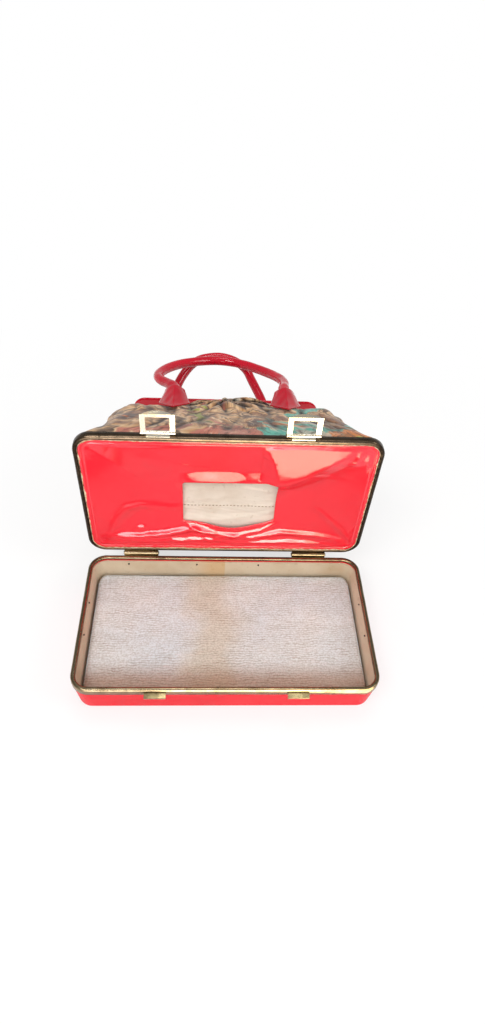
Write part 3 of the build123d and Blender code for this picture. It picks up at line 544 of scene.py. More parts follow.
nodeFinish = {
    trayPatent: ["tray_shell"],
    catchGold: ["catch_left", "catch_right"],
    frameGold: ["hinge_leaf_lower_left", "hinge_leaf_lower_right",
                "hinge_leaf_upper_left", "hinge_leaf_upper_right"],
    fittingGold: ["latch_bracket_left", "latch_bracket_right",
                  "latch_bail_left", "latch_bail_right", "zip_slider", "zip_pull", "zip_chain"],
    steelPin: ["hinge_pin_left", "hinge_pin_right", "latch_pin_left", "latch_pin_right"],
    tackSteel: ["lining_tacks"],
    trayLiningCloth: ["tray_lining"],
    innerLining: ["bag_lining"],
    greyBoard: ["tray_floor", "base_board"],
    cordFiller: ["handle_core_front", "handle_core_rear"],
    zipTape: ["zip_tape_front", "zip_tape_back"],
}
for finish, names in nodeFinish.items():
    for nodeName in names:
        nodes[nodeName].data.materials.clear()
        nodes[nodeName].data.materials.append(finish)
print("finishes set on", sum(len(v) for v in nodeFinish.values()), "nodes")

# Metal channels round the tray's and the bag's mouths
# Profile of the channel: how far in from the rims' outline and how far from the mating face, in mm. The ribs and
# the near-black darkening, partly tarnish and partly painted shade, show on the short sides, where |x| passes
# endsFrom.
channel = {"wall": 8.0, "wallStep": 5.0, "outerRound": 2.3, "innerRound": 1.7, "innerInside": 1.1, "lip": 5.2,
           "curl": 3.1, "sheet": 0.8, "gap": 0.25, "rib": 2.3, "dent": 0.10,
           "endsFrom": 146.0, "endsBlend": 12.0}


def makeChannel(name, place, side, ribHeight, endTarnishAndShade, lipTarnishAndShade):
    # A bent sheet swept round the rim: wall, rounded edge, lip and its curl, then back along its inside.
    # side is 1 above the mating face and -1 below it.
    c = channel
    a = np.linspace(0, pi / 2, 7)
    leaving, arriving = 1 - np.cos(a), 1 - np.sin(a)
    lip, sheet, roundOut, roundIn = c["lip"], c["sheet"], c["outerRound"], c["innerRound"]
    inset = np.concatenate([[0, 0], roundOut * leaving, lip - roundIn * arriving, [lip, lip - sheet],
                            lip - sheet - c["innerInside"] * leaving, sheet + (roundOut - sheet) * arriving,
                            [sheet]])
    height = np.concatenate([[c["wall"], c["wallStep"]], roundOut * arriving, roundIn * leaving,
                             [c["curl"], c["curl"]], sheet + c["innerInside"] * arriving,
                             sheet + (roundOut - sheet) * leaving, [c["wall"]]])
    # rows 0 to 8 are the wall and the rounded edge, 9 to 17 the lip and its curl, the others the inside
    row = np.arange(len(inset))[:, None]
    inset, height = inset[:, None], height[:, None]
    u = ringSteps(260, 34, 420)[None, :]
    x, y, nx, ny = rimRing(inset, u)
    rimX, rimY, _, _ = rimRing(0.0, u[0])
    s = lineSteps(rimX, rimY)[None, :]
    ends = ease((np.abs(rimX) - c["endsFrom"]) / c["endsBlend"])[None, :]
    outside = (inset < 3.2) & (row < 12)
    wander = 1.5 * waveNoise(s, 0 * s, 131, 40.0)
    rib = ribHeight * (np.abs(np.sin(pi * (s + wander) / c["rib"])) - 1.0) * ends
    dent = c["dent"] * (waveNoise(s, inset * 6, 132, 19.0) - 1.0)
    push = (rib + dent) * outside
    x, y = x + nx * push, y + ny * push
    z = side * (c["gap"] + height)
    # painted shade and painted dark reflection, partly tarnish: the short sides, the lip's inner half and the
    # top of the outer wall go towards near black
    onLip = ease((inset - 3.9) / 0.8) * (row > 8) * (row < 20)
    atWall = 0.55 * (height > 4.0) * (inset < 0.5)
    blotch = 0.86 + 0.3 * waveNoise(s, inset * 5, 133, 9.0)
    stain = np.clip(np.maximum(ends * endTarnishAndShade, lipTarnishAndShade * (onLip + atWall)) * blotch, 0, 1)
    piece = gridMesh(name, place(x, y, z), loopU=True, loopV=True, marks={"tarnishAndShade": stain})
    closeMesh(piece)
    return piece


trayChannel = makeChannel("trayChannel", trayPlace, -1, 0.10, 0.25, 0.35)
bagChannel = makeChannel("bagChannel", bagPlace, 1, 0.22, 0.95, 0.9)
for piece, finish, riding, node in ((trayChannel, frameGold, "tray", "tray_frame"),
                                    (bagChannel, shadedBagFrameGold, "bag", "bag_frame")):
    dress(piece, finish, riding)
    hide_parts(node)
print("channels made")

# Base panel: the red vinyl under the bag
# Insets from the rims' outline, levels into the bag and places with the bag closed, all in mm.
basePanel = {"edgeInset": 5.6, "flangeInset": 9.6, "flangeLevel": 1.0, "depth": 8.0, "dishRun": 72.0,
             "grooveInset": 9.4, "grooveWidth": 0.8, "crestRound": 3.5, "windowHalf": 52.0,
             "windowFront": -108.5, "windowBack": -46.5, "windowRadius": 3.5, "windowShift": 2.0,
             "windowMiddle": -76.0, "edgeLevel": 6.5, "deepest": 10.6, "lipDeepest": 12.4}
# Each crease: points (x, y), height towards the viewer and width, in mm, after the folds that the vinyl shows.
creases = (
    (((-134, -24), (-124, -50), (-113, -66), (-98, -70), (-80, -69)), 1.9, 5.5),
    (((-80, -69), (-64, -67), (-50, -68)), 0.8, 5.0),
    (((-140, -22), (-108, -22), (-70, -27), (-36, -36), (-16, -33)), 2.5, 4.6),
    (((-128, -14), (-84, -17), (-40, -18), (0, -20)), 1.4, 3.6),
    (((-104, -34), (-94, -36)), 1.5, 4.0),
    (((-46, -43), (-30, -33), (8, -26), (40, -34), (56, -44)), 1.8, 3.2),
    (((-38, -36), (-10, -24), (30, -23), (62, -31), (104, -27), (138, -19)), 2.2, 4.0),
    (((-20, -18), (30, -15), (80, -17), (120, -13)), 1.2, 3.0),
    (((100, -70), (122, -50), (140, -30), (147, -22)), 1.2, 3.2),
    (((146, -24), (150, -34), (149, -44), (144, -36)), 1.3, 2.6),
    (((136, -164), (134, -152), (131, -144)), 1.6, 3.0),
    (((124, -142), (131, -144), (138, -145)), 1.2, 3.4),
)
# Billows: one long slope that climbs to a crest and drops steeply behind it. Points of the crest, height,
# length of the climb and of the drop at both ends of the crest, in mm.
billows = (
    (((74, -172), (64, -138), (50, -106)), 16.0, (40.0, 16.0), (48.0, 14.0)),
    (((-58, -138), (-90, -144), (-122, -160)), 2.2, (30.0, 24.0), (20.0, 20.0)),
    (((4, -109), (-22, -110), (-50, -109)), 3.6, (12.0, 10.0), (7.0, 7.0)),
    (((54, -109), (32, -110), (8, -109)), 1.8, (12.0, 10.0), (7.0, 7.0)),
)


def nearestOn(line, x, y):
    # For each place: its distance to a bent line, how far along the line its nearest point is (0 to 1), and
    # on which side of the line it lies (1 left, -1 right).
    p = np.asarray(line, float)
    shape = np.broadcast(x, y).shape
    near, along, side = np.full(shape, 1e9), np.zeros(shape), np.ones(shape)
    for k in range(len(p) - 1):
        run, dx, dy = p[k + 1] - p[k], x - p[k, 0], y - p[k, 1]
        t = np.clip((dx * run[0] + dy * run[1]) / (run @ run), 0, 1)
        d = np.hypot(dx - t * run[0], dy - t * run[1])
        closer = d < near
        along = np.where(closer, (k + t) / (len(p) - 1), along)
        side = np.where(closer, np.sign(run[0] * dy - run[1] * dx), side)
        near = np.minimum(near, d)
    return near, along, side


def creaseLift(x, y):  # for each crease, a bell across its nearest point that fades at both ends, summed
    total = 0.0
    for line, height, breadth in creases:
        near, along, _ = nearestOn(line, x, y)
        fade = np.sin(pi * np.clip(along * 0.86 + 0.07, 0, 1))
        total = total + height * fade**0.7 * np.exp(-(near / breadth)**2)
    return total


def billowLift(x, y):
    # For each billow, height times about 1 - d / climb on its climbing side and a half bell on the other.
    total = 0.0
    for line, height, climbs, drops in billows:
        near, along, side = nearestOn(line, x, y)
        near = np.sqrt(near**2 + basePanel["crestRound"]**2) - basePanel["crestRound"]
        climb, drop = (ends[0] + (ends[1] - ends[0]) * along for ends in (climbs, drops))
        t = np.clip(near / climb, 0, 1)
        slope = np.where(side > 0, 0.9 * (1 - t) + 0.1 * (1 - t)**2, np.exp(-(near / drop)**2))
        total = total + height * slope * np.sin(pi * np.clip(0.2 + 0.76 * along, 0, 1))**0.6
    return total


def panelLevel(x, y):
    # Height of the vinyl into the bag: a flat flange, a stitched groove, then a dish 1 - (1 - share)^2.2 that
    # creases and billows stand out of. The inset is the distance inwards from the rims' rounded outline.
    p = basePanel
    halfDepth = (rim["back"] - rim["front"]) / 2
    qx = np.abs(x) - (rim["half"] - rim["corner"])
    qy = np.abs(y - rim["back"] + halfDepth) - (halfDepth - rim["corner"])
    inset = rim["corner"] - np.hypot(np.maximum(qx, 0), np.maximum(qy, 0)) - np.minimum(np.maximum(qx, qy), 0)
    share = np.clip((inset - p["flangeInset"]) / p["dishRun"], 0, 1)
    level = p["flangeLevel"] + p["depth"] * (1 - (1 - share)**2.2)
    groove = np.exp(-((inset - p["grooveInset"]) / p["grooveWidth"])**2)
    level = level + groove * (0.5 + 0.5 * (np.abs(x) > 120))  # half as deep away from the short sides
    lift = (creaseLift(x, y) + billowLift(x, y)) * ease((inset - 10.0) / 6.0)
    lift = lift + 0.5 * waveNoise(x, y, 4, 60.0) * ease((inset - 12.0) / 20.0)
    nearBack = np.exp(-((y + 18.0) / 12.0)**2)
    lift = lift + 0.35 * waveNoise(x, y * 3.0, 9, 26.0) * ease((inset - 10.0) / 6.0) * nearBack
    # the window's lower edge hangs forward and gapes
    sag = np.exp(-((x - 6.0) / 34.0)**2) * np.exp(-((y + 42.0) / 11.0)**2)
    level = level - lift - 2.6 * sag
    # the highest folds are drawn flat; near the bag's front they lean back a little
    flat = -4.0 + 0.075 * np.maximum(-103.0 - y, 0.0)
    return np.minimum((level + flat + np.sqrt((level - flat)**2 + 2.0)) / 2, p["deepest"])


def makeBasePanel():
    # Straight runs from the rim's outline (v = 0) to the window's outline (v = 1), at panelLevel.
    p = basePanel
    u = ringSteps(90, 14, 150)[None, :]
    outerX, outerY, _, _ = rimRing(p["edgeInset"], u)
    innerX, innerY, _, _ = roundedRing(p["windowHalf"], p["windowFront"], p["windowBack"], p["windowRadius"], u)
    innerX = innerX + p["windowShift"]
    # the lower edge of the window bows down by 9 mm, and its right end goes up by 3 mm
    bow = 9.0 * np.exp(-((innerX - 6) / 30.0)**2) - 3.0 * np.exp(-((innerX - 54) / 9.0)**2)
    innerY = innerY + ease((innerY + 58) / 10.0) * bow
    # the upper edge looks straight from the front, so it goes up where the vinyl comes forward
    forward = np.clip(p["edgeLevel"] - panelLevel(innerX, innerY), -2.5, 2.5)
    innerY = innerY - ease((-98 - innerY) / 8.0) * forward
    v = np.concatenate([np.linspace(0, 0.12, 14, endpoint=False), np.linspace(0.12, 1.0, 92)])[:, None]
    x = outerX + (innerX - outerX) * v
    y = outerY + (innerY - outerY) * v
    z = panelLevel(x, y)
    # turned lip at the window: three more rows that roll back into the bag
    lipX = innerX + (p["windowShift"] - innerX) * np.array([0.004, 0.0, -0.02])[:, None]
    lipY = innerY + (p["windowMiddle"] - innerY) * np.array([0.006, 0.002, -0.02])[:, None]
    lipZ = np.minimum(z[-1:] + np.array([0.5, 1.2, 2.0])[:, None], p["lipDeepest"])
    x, y, z = np.vstack([x, lipX]), np.vstack([y, lipY]), np.vstack([z, lipZ])
    return gridMesh("basePatent", bagPlace(x, y, z), uv=(x / 1000, y / 1000), loopU=True)


basePatent = makeBasePanel()
dress(basePatent, redPatent, "bag")
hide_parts("base_panel")
print("base panel made")

# Cloth behind the window
# Places and levels in mm with the bag closed, stitches in metres. Pulls: from and to (x, y), and height.
windowCloth = {"half": 60.0, "moreRight": 4.0, "front": -112.0, "back": -31.0, "level": 12.9, "seamY": -70.0,
               "stitchedAt": 2.2, "stitch": 0.0024, "gap": 0.0016, "thread": 0.0004}
windowPulls = (((24, -60), (52, -70), 1.0), ((10, -50), (48, -57), 0.9),
               ((-40, -92), (-12, -98), 0.7), ((18, -96), (46, -90), 0.9))


def windowClothLevel(x, y):  # slow sags, a lapped seam with a groove along its stitches, slanting pulls
    pastSeam = y - windowCloth["seamY"]
    level = windowCloth["level"] + 0.8 * waveNoise(x, y * 1.6, 21, 42.0)
    level = level + 0.35 * waveNoise(x * 0.6, y * 2.4, 22, 15.0) - 0.7 * ease(pastSeam / 0.8)
    level = level + 0.25 * np.exp(-((pastSeam - windowCloth["stitchedAt"]) / 0.9)**2)
    for start, end, height in windowPulls:
        level = level - height * np.exp(-(nearestOn((start, end), x, y)[0] / 2.6)**2)
    return np.clip(level, 11.4, 14.6) - 2.6 * ease((y + 56.0) / 10.0)


wx = np.linspace(-windowCloth["half"], windowCloth["half"] + windowCloth["moreRight"], 150)[None, :]
wy = np.concatenate([np.linspace(windowCloth["front"], windowCloth["seamY"], 70, endpoint=False),
                     np.linspace(windowCloth["seamY"], windowCloth["back"], 64)])[:, None]
windowPiece = gridMesh("windowCloth", bagPlace(wx, wy, windowClothLevel(wx, wy)), uv=(wx / 1000, wy / 1000))
dress(windowPiece, windowCotton, "bag")
seamX = np.linspace(-50, 54, 160)
seamY = np.full(160, windowCloth["seamY"] + windowCloth["stitchedAt"])
seamLine = bagPlace(seamX, seamY, windowClothLevel(seamX, seamY) - 0.15)
seamStitches = stitchRun("windowSeamStitches", seamLine, (0, -1, 0),
                         windowCloth["stitch"], windowCloth["gap"], windowCloth["thread"])
dress(seamStitches, tanThread, "bag")
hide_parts("window_lining")
print("window cloth made")

# Gathered cloth body
# Outlines from the bottom up: height, half width, front, back, corner radius, fold depth, as the solid model
bodyRows = np.array([
    (1.9, 158.4, -174.4, -1.6, 18.4, 0.0), (9.0, 158.4, -174.4, -1.6, 18.4, 0.0),
    (22.0, 151.0, -169.0, 12.0, 22.0, 2.4), (50.0, 141.0, -156.0, 44.0, 27.0, 4.4),
    (84.0, 136.0, -139.0, 47.0, 27.0, 5.4), (116.0, 131.0, -123.0, 23.0, 24.0, 6.0),
    (127.0, 121.0, -115.0, 12.0, 18.0, 1.6)])
bandRows = np.array([(127.2, 121.6, -115.6, 12.6, 18.0, 0.0), (149.5, 118.6, -104.6, -9.4, 16.0, 0.0),
                     (172.0, 116.6, -93.6, -32.4, 14.0, 0.0)])
gathers = {"lengths": (44.0, 23.0, 12.0), "shares": (0.58, 0.3, 0.12), "knotReach": 96.0, "floor": 48.85}
knot = {"x": -4.0, "z": 134.0}

# Origin: the middle of each tab's foot, with the bag closed; rise: up the tab, out: away from the cloth, both
# as in the solid model. Up, down and half: the foot's reach; edge: its thickness. The neck is the middle of
# the tab's mouth.
tabs = {"half": 18.0, "up": 27.0, "down": {"front": 32.0, "rear": 27.0}, "neckUp": 17.0, "neckOut": 14.4,
        "mouth": 7.6, "mouthWide": 1.55, "mouthTall": 1.25, "mouthLean": 0.75, "edge": 1.6, "puff": 2.0,
        "wrinkle": 0.8, "x": (-63.0, 68.0),
        "origin": {"front": (0, -126.94, 120.0), "rear": (0, 28.4, 120.0)},
        "rise": {"front": (0, 0.508, 0.861), "rear": (0, -0.669, 0.743)},
        "out": {"front": (0, -0.861, 0.508), "rear": (0, 0.743, 0.669)}}


def rowAt(rows, z):  # every outline value at height z
    return [curveThrough(rows[:, 0], rows[:, i], z) for i in range(1, 6)]


def foldDepth(s, z, gatherDepth):
    # Sharp-valleyed folds of three sizes along the outline s, wandering sideways with height z: the sum of
    # share * |sin(pi s / length)|^0.75, times the depth; 0 in a valley.
    drift = 7.0 * waveNoise(s * 0.5, z, 31, 80.0) + 3.0 * waveNoise(s, z * 1.4, 32, 30.0)
    total = 0.0
    for length, share, seed in zip(gathers["lengths"], gathers["shares"], (41, 42, 43)):
        wobble = waveNoise(s, z, seed, 90.0)
        total = total + share * np.abs(np.sin(pi * (s + drift) / length + 1.7 * wobble))**0.75
    return gatherDepth * total


def makeBody():
    # The outline at each height, pushed outwards by the folds, which turn into rays towards the knot.
    u = ringSteps(150, 26, 330)[None, :]
    z = np.concatenate([np.linspace(1.9, 9, 5, endpoint=False), np.linspace(9, 22, 12, endpoint=False),
                        np.linspace(22, 127.6, 74)])[:, None]
    half, front, back, radius, depth = rowAt(bodyRows, z)
    x, y, nx, ny = roundedRing(half, front, back, radius, u)
    # arc length along a middle outline, so that the folds and the print keep their scale
    midX, midY, _, _ = roundedRing(*bodyRows[3, 1:5], u[0])
    s = lineSteps(midX, midY)[None, :]
    total = s[0, -1] + np.hypot(midX[0] - midX[-1], midY[0] - midY[-1])
    fold = foldDepth(s, z, depth)
    # hollow is 1 at the bottom of a valley; the print paints shade there through the valley mark
    hollow = 1.0 - fold / np.maximum(depth, 0.5)
    # near the knot the folds run towards it
    angle, reach = np.arctan2(z - knot["z"], x - knot["x"]), np.hypot(x - knot["x"], z - knot["z"])
    ray = np.abs(np.sin(6.0 * angle + 1.1 * waveNoise(x, z, 51, 60.0)))**0.8
    onFront = np.floor(u) == 2
    pull = np.where(onFront, ease(1.0 - reach / gathers["knotReach"]), 0.0) * ease((s - 150) / 30)
    fold = fold * (1 - pull) + ray * np.minimum(depth * 1.15, 7.0) * pull
    hollow = (hollow * (1 - pull) + (1.0 - ray) * pull) * ease((z - 12.0) / 14.0)
    fold = fold + 0.25 * waveNoise(s, z * 1.5, 61, 9.0) * ease((z - 12) / 10)
    # pinched into the band and the metal channel
    fold = fold * ease((z - 8.0) / 10.0) * (1 - 0.85 * ease((z - 120) / 7))
    x, y = x + nx * fold, y + ny * fold
    for tabX in tabs["x"]:  # pressed flat under the handle tabs
        under = (np.abs(x - tabX) / 22 + np.abs(z - 114) / 36) < 1
        y = np.where(under & (ny < -0.5), np.maximum(y, -126.5 + 0.59 * (z - 120)), y)
        y = np.where(under & (ny > 0.5), np.minimum(y, 28.0 - 0.9 * (z - 120)), y)
    y = np.minimum(y, gathers["floor"])  # the cloth lies flat where it meets the floor
    return gridMesh("gatheredBody", bagPlace(x, y, z), uv=(s / 1000, z / 1000 * 1.15), loopU=True,
                    marks={"valley": hollow}, period=total / 1000)


body = makeBody()
dress(body, printed, "bag")
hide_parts("front_panel", "back_panel", "left_gusset", "right_gusset")
print("body cloth made")


def frontSurface(z):  # closed y of the front of the body or band at height z
    onBody = rowAt(bodyRows, np.minimum(z, 127.0))[1] - 3.5
    return np.where(z < 127.0, onBody, rowAt(bandRows, np.maximum(z, 127.2))[1])


# Gathered knot
# Fan: reach, how tall it is for its width, folds, height, how high its rim rests, and from where up it is
# pressed down. Lobes: middle (x, z) from the pinch, half sizes, turn in degrees, height, wrinkles, their lean.
fan = {"reach": 60.0, "flatten": 0.62, "folds": 11, "height": 8.5, "rest": 1.0, "pressedFrom": 163.0}
lobes = {
    "knotLobeRight": ((27.0, 5.0), (31.0, 15.0), -6.0, 14.5, 5, 0.5),
    "knotLobeLeft": ((-25.0, 2.0), (21.0, 12.0), 12.0, 10.0, 4, 0.2),
    "knotLobeLow": ((14.0, -12.0), (20.0, 9.0), -28.0, 9.0, 3, 0.5),
    "knotHeart": ((1.0, -2.0), (7.5, 16.0), 8.0, 15.0, 2, 0.9),
}


def makeFan():
    # Cloth that radiates from one pinch: angle a and radius r; ridges |sin(folds a / 2)|^0.75 run outwards
    # and the rim comes down to the body.
    a = np.linspace(0, 2 * pi, 300, endpoint=False)[None, :]
    r = np.linspace(0, 1, 40)[:, None]
    edge = 1.0 + 0.13 * np.sin(a * 3 + 5) + 0.06 * np.sin(a * 7 + 10) + 0.2 * np.cos(a - 0.3)
    wander = 0.9 * waveNoise(np.cos(a) * 30 * r, np.sin(a) * 30 * r, 8, 40.0)
    ridge = np.abs(np.sin(fan["folds"] * a / 2 + wander))**0.75
    swell = np.sin(pi * np.clip(r * 0.9 + 0.12, 0, 1))**0.8
    lift = 0.4 + fan["height"] * swell * (0.35 + 0.65 * ridge) + 0.9 * waveNoise(r * 20, a * 8, 10, 9.0) * swell
    lift = lift * (1 - r**4) + fan["rest"] * r**4 - 2.2 * r**8
    x = knot["x"] + fan["reach"] * edge * r * np.cos(a) * (1 + 0.04 * ridge)
    z = knot["z"] + fan["reach"] * edge * r * np.sin(a) * fan["flatten"]
    z = np.minimum(z, fan["pressedFrom"] + 0.35 * (z - fan["pressedFrom"]))  # it ends below the top panel
    # valley mark: painted shade between the fan's ridges, fading out towards its rim
    return gridMesh("knotFan", bagPlace(x, frontSurface(z) - lift, z), loopU=True, flip=True,
                    uv=((x + 400) / 1000 * 1.2, (z + 40 * r) / 1000 * 1.2),
                    marks={"valley": (0.22 + 1.25 * (1 - ridge)) * (1 - r**6)})


def makeLobe(name, centre, half, turn, height, wrinkles, lean):
    # A pillow of bunched cloth: height times (1 - r^2)^0.6, with wrinkles along its length that lean.
    a = np.linspace(0, 2 * pi, 160, endpoint=False)[None, :]
    r = np.linspace(0, 1, 30)[:, None]
    seed = len(name) + wrinkles * 7
    edge = 1.0 + 0.09 * np.sin(a * 3 + seed) + 0.05 * np.sin(a * 5 + 2 * seed)
    lx, lz = r * edge * np.cos(a), r * edge * np.sin(a)
    wander = 0.5 * waveNoise(lx * 30, lz * 30, seed, 34.0)
    crest = np.abs(np.sin(wrinkles * pi * 0.5 * (lz + lean * lx * lx + wander) + 0.6))**0.7
    lift = height * (1 - np.clip(r, 0, 1)**2)**0.6 * (0.62 + 0.38 * crest)
    lift = lift + 0.5 * waveNoise(lx * 30, lz * 30, seed + 3, 8.0) * (1 - r)
    c, s = np.cos(np.radians(turn)), np.sin(np.radians(turn))
    x = knot["x"] + centre[0] + half[0] * lx * c - half[1] * lz * s
    z = knot["z"] + centre[1] + half[0] * lx * s + half[1] * lz * c
    # valley mark: painted shade between the wrinkles and round the lobe's rim, where it meets the body
    return gridMesh(name, bagPlace(x, frontSurface(z) - lift + 1.5 * r**6, z), loopU=True, flip=True,
                    uv=((x + 250 + seed * 9) / 1000 * 1.2, (z + 30 * r) / 1000 * 1.2),
                    marks={"valley": np.clip(0.2 + (1 - crest) * 1.2 + r**5 * 0.75, 0, 1)})


knotFan = makeFan()
knotPieces = [makeLobe(name, *values) for name, values in lobes.items()]
for piece in [knotFan] + knotPieces:
    dress(piece, printed, "bag")
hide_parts("gathered_knot")
print("knot made")

# Top band, top panel and its piping
band = {"puckerLength": 8.5, "pucker": 0.7, "wave": 0.7, "seam": 0.6}


def makeBand():
    # The outline at each height, with puckers that die away above the seam and a slow wave over the rest.
    u = ringSteps(70, 16, 150)[None, :]
    z = np.concatenate([np.linspace(126.4, 134, 12, endpoint=False), np.linspace(134, 172.2, 30)])[:, None]
    half, front, back, radius, _ = rowAt(bandRows, np.maximum(z, 127.2))
    x, y, nx, ny = roundedRing(half, front, back, radius, u)
    midX, midY, _, _ = roundedRing(121.0, -115.0, 12.0, 18.0, u[0])
    s = lineSteps(midX, midY)[None, :]
    push = band["pucker"] * np.abs(np.sin(pi * s / band["puckerLength"])) * np.exp(-((z - 127) / 5.0)**2)
    push = push + band["wave"] * waveNoise(s, z * 1.5, 71, 70.0) * np.sin(pi * np.clip((z - 127) / 45, 0, 1))
    push = push + band["seam"] * np.exp(-((z - 128.2) / 1.1)**2)
    return gridMesh("topBand", bagPlace(x + nx * push, y + ny * push, z), uv=(s / 1000, z / 1000), loopU=True)


topBand = makeBand()
dress(topBand, bandPatent, "bag")
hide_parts("top_band_front", "top_band_back")


topPanel = {"edge": (116.2, -93.2, -32.8, 13.6), "slot": (101.0, -66.2, -59.8, 1.6), "level": 173.5,
            "wave": 0.5, "bead": 0.5, "beadAt": 0.86, "tuckedIn": 0.9}


def makeTopPanel():
    # Straight runs from the panel's edge (v = 0) to the zip's slot (v = 1): a slow wave, a bead along the
    # slot's stitching, and the slot's edge tucked in.
    u = ringSteps(30, 12, 200)[None, :]
    outer, inner = roundedRing(*topPanel["edge"], u), roundedRing(*topPanel["slot"], u)
    v = np.linspace(0, 1, 26)[:, None]
    x, y = outer[0] + (inner[0] - outer[0]) * v, outer[1] + (inner[1] - outer[1]) * v
    z = topPanel["level"] + topPanel["wave"] * waveNoise(x, y * 2, 81, 38.0) * np.sin(pi * v)
    z = z - topPanel["tuckedIn"] * v**6 + topPanel["bead"] * np.exp(-((v - topPanel["beadAt"]) / 0.05)**2)
    return gridMesh("topPatent", bagPlace(x, y, z), uv=(x / 1000, y / 1000), loopU=True, flip=True)


topPatent = makeTopPanel()
dress(topPatent, bandPatent, "bag")
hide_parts("top_panel")
piping = {"outline": (116.4, -93.4, -32.6, 13.8), "level": 172.9, "radius": 0.0013}
pipeX, pipeY, _, _ = roundedRing(*piping["outline"], ringSteps(24, 10, 60))
topPiping = ringTube("topPiping", bagPlace(pipeX, pipeY, piping["level"]), piping["radius"], 10,
                     np.array((0.0, 1.0, 0.0)))
dress(topPiping, handlePatent, "bag")
# level and how far the stitches stand out in mm, the bag's middle there, and the stitches' sizes in metres
bandStitch = {"z": 130.6, "proud": 0.3, "middle": -52.0, "stitch": 0.0032, "gap": 0.0016, "thread": 0.0003}
half, front, back, radius, _ = rowAt(bandRows, np.array([bandStitch["z"]]))
ringX, ringY, _, _ = roundedRing(half + bandStitch["proud"], front - bandStitch["proud"],
                                 back + bandStitch["proud"], radius, ringSteps(60, 16, 130))
stitchLine = bagPlace(ringX, ringY, bandStitch["z"])
bagMiddle = bagPlace(0.0, bandStitch["middle"], bandStitch["z"])
bandThread = stitchRun("bandStitches", stitchLine, stitchLine[0] - bagMiddle,
                       bandStitch["stitch"], bandStitch["gap"], bandStitch["thread"])
dress(bandThread, redThread, "bag")
print("top made")

# Handles
# The route's points are the solid model's, in mm with the bag upright. The cover's welt is a shallow groove
# along the tube at one angle round it; near each tab the tube is a little fuller.
handles = {
    "front": [(-63.0, -130.7, 142.2), (-63.0, -128.9, 150.8), (-90.5, -116.7, 185.5), (-80.0, -106.7, 220.0),
              (-55.1, -97.7, 248.5), (-13.9, -90.7, 267.0), (20.2, -90.7, 261.0), (52.3, -98.7, 231.0),
              (73.9, -112.7, 192.0), (68.0, -128.9, 150.8), (68.0, -130.7, 142.2)],
    "rear": [(-63.0, 27.7, 142.5), (-63.0, 24.3, 150.6), (-68.9, 3.7, 182.3), (-72.2, -26.3, 210.3),
             (-69.6, -60.3, 232.3), (-58.4, -76.3, 252.3), (-40.7, -84.3, 275.3), (-13.9, -86.3, 283.3),
             (9.1, -84.3, 280.3), (28.7, -78.3, 268.3), (36.6, -70.3, 250.3), (54.9, -54.3, 213.3),
             (64.1, -16.3, 180.3), (68.0, 24.3, 150.6), (68.0, 27.7, 142.5)],
    "radius": 6.0, "ringCount": 26, "ribLength": 2.6, "ribHeight": 0.16, "groove": 0.35, "grooveAt": 4.6,
    "dent": 0.12, "fuller": 0.8, "fullerAt": 12.0, "fullerReach": 7.0}

for which in ("front", "rear"):
    route = np.array(handles[which])
    line, along = softLine(bagPlace(route[:, 0], route[:, 1], route[:, 2]), 60)
    a = np.linspace(0, 2 * pi, handles["ringCount"], endpoint=False)[None, :]
    s = along[:, None] * 1000
    rib = np.abs(np.sin(pi * (s + 2.0 * waveNoise(s, a * 5, 91, 40.0)) / handles["ribLength"]))
    radiusMap = handles["radius"] + handles["ribHeight"] * (rib - 0.5) * (0.6 + 0.4 * np.sin(a * 2 + s / 37.0))
    radiusMap = radiusMap - handles["groove"] * np.exp(-((a - handles["grooveAt"]) / 0.16)**2)
    radiusMap = radiusMap + handles["dent"] * waveNoise(s, a * 9, 92, 30.0)
    fromBend = np.minimum(s, s[-1] - s) - handles["fullerAt"]
    radiusMap = radiusMap + handles["fuller"] * np.exp(-(fromBend / handles["fullerReach"])**2)
    handlePiece = tubeMesh("handle" + which.capitalize(), line, radiusMap / 1000, handles["ringCount"],
                           np.array((0.0, 0.35, 1.0)))
    dress(handlePiece, handlePatent, "bag")
    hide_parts("handle_cover_" + which)
print("handles made")

